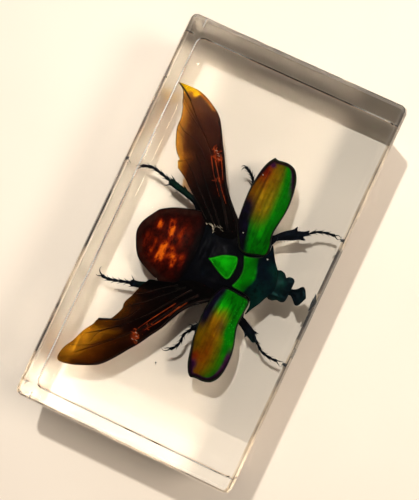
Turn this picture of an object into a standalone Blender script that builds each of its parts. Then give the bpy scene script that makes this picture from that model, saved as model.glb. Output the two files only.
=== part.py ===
"""A rectangular block of clear cast resin that holds a spread-wing beetle.

The block is one casting, sawn, bevelled and polished: a flat top and base, four flat
walls, a narrow cut in two flats round the top, a much finer one round the base, and a
small two-step rounding down each of the four upright corners. What is sealed inside it is
part of the same casting.

Units are metres, +Z is up. The origin is the centre of the base, +X runs along the
block's long side and +Y across it, towards the insect's head.
"""

import math

import bmesh
import bpy

# ---- driving dimensions, in metres ------------------------------------------------
LENGTH = 0.0730          # long side, along X
WIDTH = 0.0410           # short side, along Y
THICKNESS = 0.0220       # base to top, along Z
CORNER_BEVEL = 0.0012    # rounding down each upright corner, measured along a wall
CORNER_STEPS = 2         # flats that the rounding is polished in
TOP_BEVEL = 0.0013       # cut round the top, measured across the top face
TOP_STEPS = 2            # flats in that cut, the outer one steep
TOP_PROFILE = 0.38       # between one straight flat (0.25) and a round edge (0.5)
TOP_DROP = 0.0018        # how far down the walls the steep flat ends
BASE_BEVEL = 0.00018     # much finer cut round the base
POLISH_RADIUS = 0.00010  # how far polishing rounds every edge over
POLISH_STEPS = 2

RESIN_COLOUR = (0.93, 0.92, 0.86, 1.0)
RESIN_ROUGHNESS = 0.02
RESIN_IOR = 1.56         # clear polyester casting resin

COLLECTION = "insect_in_resin_block"
NODE = "resin_block"


def clear_scene():
    for obj in list(bpy.data.objects):
        bpy.data.objects.remove(obj, do_unlink=True)


def make_collection(name):
    collection = bpy.data.collections.new(name)
    bpy.context.scene.collection.children.link(collection)
    return collection


def resin_material():
    material = bpy.data.materials.new("clear_resin")
    material.use_nodes = True
    shader = material.node_tree.nodes["Principled BSDF"]
    shader.inputs["Base Color"].default_value = RESIN_COLOUR
    shader.inputs["Roughness"].default_value = RESIN_ROUGHNESS
    shader.inputs["Metallic"].default_value = 0.0
    shader.inputs["IOR"].default_value = RESIN_IOR
    shader.inputs["Transmission Weight"].default_value = 1.0
    return material


def cut_edges(bm, chosen, width, segments=1, profile=0.5):
    """Bevel the chosen edges of the mesh by the given width."""
    bmesh.ops.bevel(bm, geom=chosen, offset=width, offset_type='OFFSET', segments=segments,
                    profile=profile, affect='EDGES', clamp_overlap=True, miter_outer='SHARP')


def edges_at(bm, z):
    return [e for e in bm.edges if all(abs(v.co.z - z) < 1e-6 for v in e.verts)]


def block_mesh(name):
    """A box of the full size, standing on z = 0, with its edges cut."""
    bm = bmesh.new()
    bmesh.ops.create_cube(bm, size=1.0)
    bmesh.ops.scale(bm, vec=(LENGTH, WIDTH, THICKNESS), verts=bm.verts)
    bmesh.ops.translate(bm, vec=(0.0, 0.0, THICKNESS / 2.0), verts=bm.verts)
    # The upright corners are rounded first, then the wall edges of the top and the base.
    upright = [e for e in bm.edges if abs(e.verts[0].co.z - e.verts[1].co.z) > THICKNESS / 2.0]
    cut_edges(bm, upright, CORNER_BEVEL, CORNER_STEPS)
    cut_edges(bm, edges_at(bm, THICKNESS), TOP_BEVEL, TOP_STEPS, TOP_PROFILE)
    for vert in bm.verts:
        if abs(vert.co.z - (THICKNESS - TOP_BEVEL)) < 1e-6:
            vert.co.z = THICKNESS - TOP_DROP
    cut_edges(bm, edges_at(bm, 0.0), BASE_BEVEL)
    mesh = bpy.data.meshes.new(name)
    bm.to_mesh(mesh)
    bm.free()
    return mesh


def add_polish(obj):
    """Polishing leaves every edge very slightly round."""
    bevel = obj.modifiers.new("polish", 'BEVEL')
    bevel.offset_type = 'OFFSET'
    bevel.width = POLISH_RADIUS
    bevel.segments = POLISH_STEPS
    bevel.limit_method = 'ANGLE'
    bevel.angle_limit = math.radians(20.0)
    bevel.use_clamp_overlap = True
    bevel.miter_outer = 'MITER_SHARP'
    return bevel


def build_block(collection):
    block = bpy.data.objects.new(NODE, block_mesh(NODE))
    collection.objects.link(block)
    block.location = (0.0, 0.0, 0.0)
    block.data.materials.append(resin_material())
    add_polish(block)
    return block


def main():
    clear_scene()
    collection = make_collection(COLLECTION)
    build_block(collection)


main()
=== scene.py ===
import bpy, bmesh, math, random
import numpy as np
from mathutils import Vector, Matrix, noise
from mathutils.geometry import delaunay_2d_cdt


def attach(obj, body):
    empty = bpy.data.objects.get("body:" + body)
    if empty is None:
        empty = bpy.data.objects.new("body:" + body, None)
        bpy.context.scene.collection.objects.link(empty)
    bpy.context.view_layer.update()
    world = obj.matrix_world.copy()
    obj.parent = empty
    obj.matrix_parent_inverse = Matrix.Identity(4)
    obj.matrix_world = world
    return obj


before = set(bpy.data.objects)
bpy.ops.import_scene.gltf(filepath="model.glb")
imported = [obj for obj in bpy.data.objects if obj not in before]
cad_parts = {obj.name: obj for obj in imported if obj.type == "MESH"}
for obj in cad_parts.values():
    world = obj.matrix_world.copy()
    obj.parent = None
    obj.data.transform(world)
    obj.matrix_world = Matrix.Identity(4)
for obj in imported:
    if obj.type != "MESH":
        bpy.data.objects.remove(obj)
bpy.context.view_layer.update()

# ---------------------------------------------------------------------------
# Camera: looks down on the block, a little from its front right
# ---------------------------------------------------------------------------
THICK = 22.0            # block height in mm
NADIR = (4.9, 12.1)     # point straight below the lens, mm
LENS_H = 122.4          # lens height above the top face, mm

R0 = np.array([[-0.428, 0.904, 0.0], [0.904, 0.428, 0.0], [0.0, 0.0, -1.0]])
_u, _s, _v = np.linalg.svd(R0)
R0 = _u @ _v


def rot_vec(r):
    th = np.linalg.norm(r)
    k = r / th
    K = np.array([[0, -k[2], k[1]], [k[2], 0, -k[0]], [-k[1], k[0], 0]])
    return np.eye(3) + math.sin(th) * K + (1 - math.cos(th)) * K @ K


R = rot_vec(np.radians(np.array([-1.71, 2.18, -0.29]))) @ R0
C = (NADIR[0] / 1000, NADIR[1] / 1000, (LENS_H + THICK) / 1000)
cd = bpy.data.cameras.new("photo_camera")
cam = bpy.data.objects.new("photo_camera", cd)
bpy.context.scene.collection.objects.link(cam)
cam.matrix_world = Matrix((
    (R[0][0], -R[1][0], -R[2][0], C[0]),
    (R[0][1], -R[1][1], -R[2][1], C[1]),
    (R[0][2], -R[1][2], -R[2][2], C[2]),
    (0, 0, 0, 1)))
cd.sensor_width = 36
cd.sensor_fit = 'AUTO'
cd.lens = 725 / 500 * 36
cd.shift_x = -(235 - 209.5) / 500
cd.shift_y = (285 - 250) / 500
cd.clip_start = 0.005
cd.clip_end = 10
bpy.context.scene.camera = cam


def at(x, y, z):
    """A point measured on the level z = 12 mm as the lens sees it through the
    resin, moved along its sight line to height z. Millimetres in, metres out."""
    f = (1 + (THICK - z) / 190.9) / 1.0524
    return ((NADIR[0] + (x - NADIR[0]) * f) / 1000,
            (NADIR[1] + (y - NADIR[1]) * f) / 1000,
            z / 1000)


# ---------------------------------------------------------------------------
# Node helpers and materials
# ---------------------------------------------------------------------------
def lin(*rgb):
    out = []
    for c in rgb:
        c = c / 255
        out.append(c / 12.92 if c <= 0.04045 else ((c + 0.055) / 1.055) ** 2.4)
    return tuple(out) + (1.0,)


class Nodes:
    """A short way to build one material's node tree."""

    def __init__(self, name):
        self.m = bpy.data.materials.new(name)
        self.m.use_nodes = True
        self.t = self.m.node_tree
        self.p = self.t.nodes["Principled BSDF"]
        self.out = self.t.nodes["Material Output"]

    def add(self, kind, **k):
        n = self.t.nodes.new(kind)
        for a, b in k.items():
            setattr(n, a, b)
        return n

    def link(self, a, b):
        self.t.links.new(a, b)

    def put(self, sock, val):
        if hasattr(val, "is_output"):
            self.link(val, sock)
        else:
            sock.default_value = val

    def math(self, op, a, b=0.0, c=None, clamp=False):
        n = self.add("ShaderNodeMath", operation=op, use_clamp=clamp)
        self.put(n.inputs[0], a)
        self.put(n.inputs[1], b)
        if c is not None:
            self.put(n.inputs[2], c)
        return n.outputs[0]

    def range(self, v, a, b, lo=0.0, hi=1.0, smooth=True):
        n = self.add("ShaderNodeMapRange")
        n.interpolation_type = 'SMOOTHSTEP' if smooth else 'LINEAR'
        self.put(n.inputs[0], v)
        n.inputs[1].default_value = a
        n.inputs[2].default_value = b
        n.inputs[3].default_value = lo
        n.inputs[4].default_value = hi
        return n.outputs[0]

    def mix(self, f, a, b, mode='MIX'):
        n = self.add("ShaderNodeMix", data_type='RGBA', blend_type=mode)
        self.put(n.inputs[0], f)
        self.put(n.inputs[6], a)
        self.put(n.inputs[7], b)
        return n.outputs[2]

    def ramp(self, v, stops, mode='EASE'):
        n = self.add("ShaderNodeValToRGB")
        n.color_ramp.interpolation = mode
        e = n.color_ramp.elements
        while len(e) < len(stops):
            e.new(0.5)
        for el, (p, c) in zip(e, stops):
            el.position = p
        for el, (p, c) in zip(e, stops):
            el.color = c
        self.put(n.inputs[0], v)
        return n.outputs[0]

    def attr(self, name):
        n = self.add("ShaderNodeAttribute", attribute_name=name)
        return n.outputs["Fac"]

    def coord(self, scale=(1, 1, 1), rot=(0, 0, 0), loc=(0, 0, 0)):
        tc = self.add("ShaderNodeTexCoord")
        mp = self.add("ShaderNodeMapping")
        mp.inputs["Scale"].default_value = scale
        mp.inputs["Rotation"].default_value = rot
        mp.inputs["Location"].default_value = loc
        self.link(tc.outputs["Object"], mp.inputs[0])
        return mp.outputs[0]

    def turned(self, turn, scale):
        """Object coordinates turned about Z first and stretched after that."""
        mp = self.add("ShaderNodeMapping")
        mp.inputs["Scale"].default_value = scale
        self.link(self.coord((1, 1, 1), (0, 0, turn)), mp.inputs[0])
        return mp.outputs[0]

    def noise(self, scale, detail=3.0, rough=0.55, vec=None, dist=0.0):
        n = self.add("ShaderNodeTexNoise")
        n.inputs["Scale"].default_value = scale
        n.inputs["Detail"].default_value = detail
        n.inputs["Roughness"].default_value = rough
        n.inputs["Distortion"].default_value = dist
        self.link(vec if vec is not None else self.coord(), n.inputs["Vector"])
        return n.outputs["Fac"]

    def voronoi(self, scale, vec=None, feature='F1'):
        n = self.add("ShaderNodeTexVoronoi", feature=feature)
        n.inputs["Scale"].default_value = scale
        self.link(vec if vec is not None else self.coord(), n.inputs["Vector"])
        return n.outputs["Distance"]

    def bump(self, height, strength, dist, normal=None):
        n = self.add("ShaderNodeBump")
        n.inputs["Strength"].default_value = strength
        n.inputs["Distance"].default_value = dist
        self.put(n.inputs["Height"], height)
        if normal is not None:
            self.link(normal, n.inputs["Normal"])
        return n.outputs[0]

    def set(self, **k):
        for a, b in k.items():
            self.put(self.p.inputs[a.replace("_", " ")], b)


BLACK = lin(6, 6, 9)
NAVY = lin(8, 10, 26)


def resin_material():
    n = Nodes("clear_resin")
    streak = n.noise(60, 2, 0.5, n.coord((0.25, 1, 1)))
    tint_and_painted_shade = n.ramp(streak, [(0.3, lin(253, 253, 251)), (0.7, lin(255, 255, 254))])
    # painted shade: the outer flat of the cut round the top is tinted brown, standing in for the dark edge that bent
    # light leaves there
    xyz = n.add("ShaderNodeSeparateXYZ")
    n.link(n.coord(), xyz.inputs[0])
    z = xyz.outputs[2]
    band = n.math('MULTIPLY', n.range(z, 0.01995, 0.0204), n.range(z, 0.0217, 0.0212))
    brown = n.ramp(n.noise(110, 3, 0.6), [(0.36, lin(58, 42, 30)), (0.46, lin(124, 98, 66)), (0.56, lin(186, 158, 116)), (0.68, lin(234, 218, 190))])
    # on three sides the painted brown shade runs a little way onto the inner flat
    x, y = xyz.outputs[0], xyz.outputs[1]
    wide = n.math('MULTIPLY', n.range(z, 0.01995, 0.0204), n.range(z, 0.02188, 0.02174))
    wide = n.math('MULTIPLY', wide, n.range(x, -0.0352, -0.0345))
    wide = n.math('MULTIPLY', wide, n.range(n.math('ABSOLUTE', y), 0.0189, 0.0194))
    painted_end_shade = n.math('MULTIPLY', n.math('MULTIPLY', n.range(z, 0.01995, 0.0204), n.range(z, 0.02176, 0.02160)), n.range(x, 0.0349, 0.0354))
    band = n.math('MAXIMUM', band, n.math('MAXIMUM', wide, painted_end_shade))
    tint_and_painted_shade = n.mix(n.math('MULTIPLY', band, 0.9), tint_and_painted_shade, brown)
    # painted shade: stretches of the two long edges, and part of the near end, where that flat is painted nearly black

    def stretch(a, b):
        return n.math('MULTIPLY', n.range(x, a - 0.0006, a + 0.0006), n.range(x, b + 0.0006, b - 0.0006))

    left = n.math('MULTIPLY', n.range(y, -0.0190, -0.0196), n.math('ADD', stretch(-0.002, 0.009), stretch(0.019, 0.0285), clamp=True))
    right = n.math('MULTIPLY', n.range(y, 0.0190, 0.0196), stretch(-0.0095, 0.0078))
    near = n.math('MULTIPLY', n.range(x, 0.0350, 0.0356), n.math('MULTIPLY', n.range(y, -0.0195, -0.0185), n.range(y, -0.0020, -0.0110, 0.0, 0.75)))
    sides = n.math('ADD', n.math('ADD', left, right, clamp=True), near, clamp=True)
    black = n.math('MULTIPLY', sides, n.range(n.noise(260, 3, 0.6), 0.30, 0.44))
    tint_and_painted_shade = n.mix(n.math('MULTIPLY', black, band), tint_and_painted_shade, lin(3, 2, 2))
    # painted shade: a thin dark line where the two flats of the top cut meet
    seam = n.math('MULTIPLY', n.range(z, 0.02144, 0.02152), n.range(z, 0.02168, 0.02160))
    seam = n.math('MULTIPLY', seam, n.range(n.noise(150, 3, 0.6), 0.36, 0.60, 0.25, 0.95))
    tint_and_painted_shade = n.mix(seam, tint_and_painted_shade, lin(60, 48, 40))
    # painted light: a very fine warm tint where the base is cut, standing in for the warm bright line that light makes
    # there
    tint_and_painted_shade = n.mix(n.math('MULTIPLY', n.range(z, 0.00001, 0.00003), n.range(z, 0.0006, 0.0003)), tint_and_painted_shade, lin(240, 204, 172))
    n.set(Base_Color=tint_and_painted_shade, Roughness=0.0, IOR=1.56)
    n.p.inputs["Transmission Weight"].default_value = 1.0
    ab = n.add("ShaderNodeVolumeAbsorption")
    ab.inputs["Color"].default_value = (0.78, 0.73, 0.55, 1)
    ab.inputs["Density"].default_value = 5.0
    n.link(ab.outputs[0], n.out.inputs["Volume"])
    return n.m


def green_shell(name, rim, flecks):
    """Wing case. Its vertices say how far the green turns to olive, orange and
    red (warm), where it dulls to navy (dusk) and where it turns purple (plum);
    fine striae, pits and flecks are added here."""
    n = Nodes(name)
    u, v, e = n.attr("along"), n.attr("across"), n.attr("edge")
    wob = n.noise(330, 4, 0.6, n.coord((0.4, 1, 1)))
    fine = n.noise(1500, 3, 0.6)
    w = n.math('ADD', n.attr("warm"), n.math('MULTIPLY', n.math('SUBTRACT', wob, 0.5), 0.20))
    w = n.math('ADD', w, n.math('MULTIPLY', n.math('SUBTRACT', fine, 0.5), 0.10), clamp=True)
    col = n.ramp(w, [(0.0, lin(0, 112, 0)), (0.14, lin(4, 120, 0)), (0.30, lin(44, 108, 0)), (0.44, lin(78, 92, 0)),
                     (0.60, lin(108, 78, 0)), (0.76, lin(124, 54, 0)), (0.90, lin(112, 26, 4)), (1.0, lin(80, 10, 24))], 'LINEAR')
    # lengthwise striae, strongest near the base, and a soft mottle
    stria = n.noise(2300, 2, 0.5, n.coord((0.05, 1, 1)))
    dark = n.math('MULTIPLY', n.range(stria, 0.52, 0.36), n.range(u, 0.62, 0.10, 0.20, 0.55))
    col = n.mix(dark, col, n.mix(1.0, col, lin(96, 118, 92), 'MULTIPLY'))
    mottle = n.noise(620, 4, 0.62)
    col = n.mix(n.range(mottle, 0.56, 0.34, 0.0, 0.40), col, n.mix(1.0, col, lin(132, 138, 120), 'MULTIPLY'))
    pale = n.math('MULTIPLY', n.range(n.noise(1900, 3, 0.65), 0.60, 0.74), 0.30)
    col = n.mix(pale, col, n.mix(1.0, col, (1.7, 1.6, 1.5, 1), 'MULTIPLY'))
    fleck = n.math('MULTIPLY', n.range(n.voronoi(2100), 0.34, 0.12), n.attr("fleck"))
    col = n.mix(n.math('MULTIPLY', fleck, flecks), col, lin(30, 186, 40))
    plum = n.math('ADD', n.attr("plum"), n.math('MULTIPLY', n.math('SUBTRACT', mottle, 0.5), 0.3))
    col = n.mix(n.range(plum, 0.05, 0.95), col, n.ramp(mottle, [(0.35, lin(34, 6, 40)), (0.65, lin(62, 16, 62))]))
    dusk = n.math('ADD', n.attr("dusk"), n.math('MULTIPLY', n.math('SUBTRACT', wob, 0.5), 0.25))
    col = n.mix(n.range(dusk, 0.0, 0.95), col, n.ramp(mottle, [(0.35, lin(4, 3, 12)), (0.65, lin(12, 8, 34))]))
    # dark margin and the pale thread along the raised bead
    wide = n.math('MULTIPLY', e, n.range(u, 0.50, 0.85, 1.3, 0.55))
    col = n.mix(n.range(wide, 0.52, 0.22), col, rim)
    line = n.math('MULTIPLY', n.range(e, 0.14, 0.20), n.range(e, 0.29, 0.23))
    line = n.math('MULTIPLY', line, n.range(n.noise(260, 2), 0.42, 0.6))
    col = n.mix(n.math('MULTIPLY', line, 0.34), col, lin(70, 104, 48))
    col = n.mix(n.range(e, 0.17, 0.06), col, BLACK)
    # underside of the case is dark
    col = n.mix(n.attr("under"), col, lin(26, 18, 10))
    n.set(Base_Color=col, Roughness=n.range(n.noise(300, 3), 0.3, 0.7, 0.30, 0.44), Metallic=0.3)
    n.p.inputs["Specular IOR Level"].default_value = 0.1
    n.p.inputs["IOR"].default_value = 1.15
    pits = n.range(n.voronoi(2600), 0.0, 0.30, 0.0, 1.0)
    h = n.bump(pits, 0.35, 0.00002)
    h = n.bump(n.noise(900, 3), 0.25, 0.00003, h)
    h = n.bump(stria, 0.3, 0.00003, h)
    n.link(h, n.p.inputs["Normal"])
    return n.m


def plate_green(name, hi, lo, dark=None):
    """Scutellum and pronotum: bright green plate, paler thread at the margin."""
    n = Nodes(name)
    e, v = n.attr("edge"), n.attr("across")
    broad = n.noise(300, 3, 0.55)
    col = n.ramp(broad, [(0.32, lo), (0.66, hi)])
    col = n.mix(n.range(n.noise(700, 4, 0.6), 0.56, 0.34, 0.0, 0.55), col, n.mix(1.0, col, lin(140, 150, 130), 'MULTIPLY'))
    thread = n.math('MULTIPLY', n.range(e, 0.12, 0.20), n.range(e, 0.40, 0.24))
    col = n.mix(n.math('MULTIPLY', thread, n.range(broad, 0.4, 0.6, 0.25, 0.75)), col, lin(52, 172, 44))
    if dark is not None:
        f = n.math('ADD', v, n.math('MULTIPLY', n.math('SUBTRACT', n.noise(420, 3), 0.5), 0.05))
        col = n.mix(n.range(f, 0.20, 0.49, 0.0, 0.75), col, lin(0, 82, 2))
        far = n.ramp(n.noise(260, 3), [(0.36, dark[0]), (0.64, dark[1])])
        far = n.mix(n.range(n.noise(1500, 4), 0.5, 0.7), far, n.mix(1.0, far, (0.4, 0.4, 0.4, 1), 'MULTIPLY'))
        col = n.mix(n.range(f, 0.45, 0.555), col, far)
    col = n.mix(n.range(e, 0.14, 0.04), col, BLACK)
    col = n.mix(n.attr("under"), col, lin(8, 11, 12))
    n.set(Base_Color=col, Roughness=n.range(n.noise(350, 3), 0.3, 0.7, 0.34, 0.48), Metallic=0.3)
    n.p.inputs["Specular IOR Level"].default_value = 0.1
    n.p.inputs["IOR"].default_value = 1.15
    pits = n.range(n.voronoi(2300), 0.0, 0.28, 0.0, 1.0)
    h = n.bump(pits, 0.35, 0.00002)
    h = n.bump(n.noise(800, 3), 0.2, 0.00003, h)
    n.link(h, n.p.inputs["Normal"])
    return n.m


def dark_shell(name, a, b, c, rough=(0.25, 0.42), sheen_at=0.62, metal=0.2):
    """Black chitin with a blue or green sheen in places."""
    n = Nodes(name)
    broad = n.noise(170, 3, 0.5)
    col = n.ramp(broad, [(0.30, a), (0.52, b), (sheen_at + 0.14, c)])
    col = n.mix(n.math('MULTIPLY', n.range(n.noise(900, 4), 0.5, 0.8), 0.5), col, a)
    n.set(Base_Color=col, Roughness=n.range(n.noise(500, 3), 0.3, 0.7, rough[0], rough[1]), Metallic=metal)
    n.p.inputs["Specular IOR Level"].default_value = 0.15
    n.p.inputs["IOR"].default_value = 1.12
    pits = n.range(n.voronoi(2800), 0.0, 0.3, 0.0, 1.0)
    h = n.bump(pits, 0.12, 0.00002)
    h = n.bump(n.noise(1200, 3), 0.15, 0.00003, h)
    n.link(h, n.p.inputs["Normal"])
    return n.m


def abdomen_material():
    """Dark maroon hind body, cleared by the resin so that the inside glows
    orange in blocks along its segments."""
    n = Nodes("abdomen_maroon")
    e, s = n.attr("edge"), n.attr("seg")
    glow = n.attr("glow")
    block = n.noise(760, 5, 0.70, n.coord((0.8, 1.15, 1.0)))
    grain = n.noise(2200, 3, 0.6)
    f = n.math('MULTIPLY', glow, n.range(block, 0.34, 0.62, 0.30, 1.15))
    f = n.math('ADD', f, n.math('MULTIPLY', n.math('SUBTRACT', block, 0.5), 0.35))
    f = n.math('ADD', f, n.math('MULTIPLY', n.math('SUBTRACT', grain, 0.5), 0.16), clamp=True)
    col = n.ramp(f, [(0.0, lin(30, 3, 1)), (0.16, lin(54, 7, 1)), (0.34, lin(88, 17, 2)), (0.56, lin(136, 38, 3)),
                     (0.78, lin(188, 72, 6)), (1.0, lin(222, 104, 14))], 'LINEAR')
    # brownish, half clear band inside the black rim
    ring = n.math('MULTIPLY', n.range(e, 0.16, 0.45), n.range(e, 1.5, 0.8))
    ring = n.math('MULTIPLY', ring, n.math('ADD', n.math('MULTIPLY', n.range(n.noise(520, 4), 0.42, 0.66), 0.6), 0.25))
    col = n.mix(n.math('MULTIPLY', ring, n.attr("rear")), col, lin(50, 28, 22))
    col = n.mix(n.math('MULTIPLY', n.range(s, 0.5, 1.0), 0.30), col, lin(20, 4, 2))
    col = n.mix(n.range(e, 0.26, 0.08), col, lin(10, 5, 4))
    col = n.mix(n.attr("front"), col, lin(5, 3, 6))
    n.set(Base_Color=col, Roughness=n.range(n.noise(450, 3), 0.3, 0.7, 0.3, 0.5))
    n.p.inputs["Specular IOR Level"].default_value = 0.15
    n.p.inputs["IOR"].default_value = 1.12
    h = n.bump(n.range(n.voronoi(1900), 0.0, 0.3), 0.3, 0.00003)
    h = n.bump(n.noise(800, 4), 0.3, 0.00005, h)
    n.link(h, n.p.inputs["Normal"])
    return n.m


def wing_material(name, stops, turn):
    """Thin clear wing skin: amber where it is single, brown-black where it is
    folded double, orange-red along the crumpled fold; the brightest yellow and gold
    near the tips are painted highlights. Light that passes
    through it is stained, so its shadow is too."""
    n = Nodes(name)
    a, red = n.attr("amber"), n.attr("fold")
    along = n.noise(520, 4, 0.6, n.turned(turn, (0.16, 1, 1)), 0.5)
    cloud = n.noise(230, 4, 0.6)
    fine = n.noise(1500, 3, 0.6)
    f = n.math('ADD', a, n.math('MULTIPLY', n.math('SUBTRACT', along, 0.5), 0.22))
    f = n.math('ADD', f, n.math('MULTIPLY', n.math('SUBTRACT', cloud, 0.5), 0.24))
    f = n.math('ADD', f, n.math('MULTIPLY', n.math('SUBTRACT', fine, 0.5), 0.06), clamp=True)
    col = n.ramp(f, stops, 'LINEAR')
    rr = n.math('MULTIPLY', red, n.range(n.noise(900, 4, 0.65, None, 0.5), 0.36, 0.60))
    col = n.mix(rr, col, n.ramp(red, [(0.35, lin(104, 28, 12)), (0.9, lin(212, 84, 34))]))
    n.set(Base_Color=col, Roughness=n.range(n.noise(500, 2), 0.3, 0.7, 0.18, 0.32))
    n.p.inputs["Specular IOR Level"].default_value = 0.2
    n.p.inputs["IOR"].default_value = 1.12
    h = n.bump(n.noise(600, 3, 0.5, None, 0.4), 0.4, 0.00006)
    n.link(h, n.p.inputs["Normal"])
    # the skin has two faces, so each takes the square root of the stain
    root = n.add("ShaderNodeGamma")
    root.inputs[1].default_value = 0.5
    n.put(root.inputs[0], col)
    clear = n.add("ShaderNodeBsdfTransparent")
    n.link(root.outputs[0], clear.inputs[0])
    skin = n.add("ShaderNodeMixShader")
    skin.inputs[0].default_value = 0.90
    n.link(n.p.outputs[0], skin.inputs[1])
    n.link(clear.outputs[0], skin.inputs[2])
    n.link(skin.outputs[0], n.out.inputs["Surface"])
    return n.m


def vein_material(name, a, b):
    n = Nodes(name)
    col = n.ramp(n.noise(500, 3), [(0.35, a), (0.65, b)])
    n.set(Base_Color=col, Roughness=n.range(n.noise(900, 2), 0.3, 0.7, 0.3, 0.5))
    n.p.inputs["IOR"].default_value = 1.12
    n.link(n.bump(n.noise(1500, 3), 0.3, 0.00002), n.p.inputs["Normal"])
    return n.m


def speck_material(name, a, b):
    n = Nodes(name)
    col = n.ramp(n.noise(2500, 3), [(0.35, a), (0.65, b)])
    n.set(Base_Color=col, Roughness=n.range(n.noise(1800, 2), 0.3, 0.7, 0.3, 0.6))
    n.link(n.bump(n.noise(3000, 3), 0.4, 0.00002), n.p.inputs["Normal"])
    return n.m


# ---------------------------------------------------------------------------
# Geometry helpers (all in mm until the last step)
# ---------------------------------------------------------------------------
def smooth_path(pts, closed=False, step=0.2):
    """Catmull-Rom curve through pts, then evenly spaced points on it."""
    p = np.array(pts, float)
    n = len(p)
    out = []
    rng = range(n if closed else n - 1)
    for i in rng:
        if closed:
            p0, p1, p2, p3 = p[(i - 1) % n], p[i], p[(i + 1) % n], p[(i + 2) % n]
        else:
            p1, p2 = p[i], p[i + 1]
            p0 = p[i - 1] if i > 0 else 2 * p1 - p2
            p3 = p[i + 2] if i + 2 < n else 2 * p2 - p1
        for t in np.linspace(0, 1, 12, endpoint=False):
            out.append(0.5 * ((2 * p1) + (-p0 + p2) * t + (2 * p0 - 5 * p1 + 4 * p2 - p3) * t * t
                              + (-p0 + 3 * p1 - 3 * p2 + p3) * t ** 3))
    if not closed:
        out.append(p[-1])
    q = np.array(out)
    if closed:
        q = np.vstack([q, q[:1]])
    d = np.concatenate([[0], np.cumsum(np.linalg.norm(np.diff(q[:, :2], axis=0), axis=1))])
    keep = np.concatenate([[True], np.diff(d) > 1e-9])
    q, d = q[keep], d[keep]
    m = max(4, int(round(d[-1] / step)))
    s = np.linspace(0, d[-1], m + 1)
    r = np.stack([np.interp(s, d, q[:, k]) for k in range(q.shape[1])], axis=1)
    return r[:-1] if closed else r


def ease_outline(p, times=2):
    for _ in range(times):
        p = 0.5 * p + 0.25 * (np.roll(p, 1, 0) + np.roll(p, -1, 0))
    return p


def area2(p):
    x, y = p[:, 0], p[:, 1]
    return 0.5 * np.sum(x * np.roll(y, -1) - np.roll(x, -1) * y)


def inside(pts, poly):
    x, y = pts[:, 0][:, None], pts[:, 1][:, None]
    a, b = poly, np.roll(poly, -1, 0)
    c = (a[:, 1] > y) != (b[:, 1] > y)
    dy = b[:, 1] - a[:, 1]
    dy = np.where(np.abs(dy) < 1e-12, 1e-12, dy)
    xi = (b[:, 0] - a[:, 0]) * (y - a[:, 1]) / dy + a[:, 0]
    return (np.sum(c & (x < xi), axis=1) % 2) == 1


def dist_to(pts, path, closed=True):
    a = path if closed else path[:-1]
    b = np.roll(path, -1, 0) if closed else path[1:]
    best = np.full(len(pts), 1e9)
    for lo in range(0, len(pts), 2000):
        q = pts[lo:lo + 2000]
        ab = b - a
        t = np.sum((q[:, None, :] - a[None]) * ab[None], axis=2) / np.maximum(np.sum(ab * ab, axis=1), 1e-12)
        t = np.clip(t, 0, 1)
        c = a[None] + t[:, :, None] * ab[None]
        best[lo:lo + 2000] = np.min(np.linalg.norm(q[:, None, :] - c, axis=2), axis=1)
    return best


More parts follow.
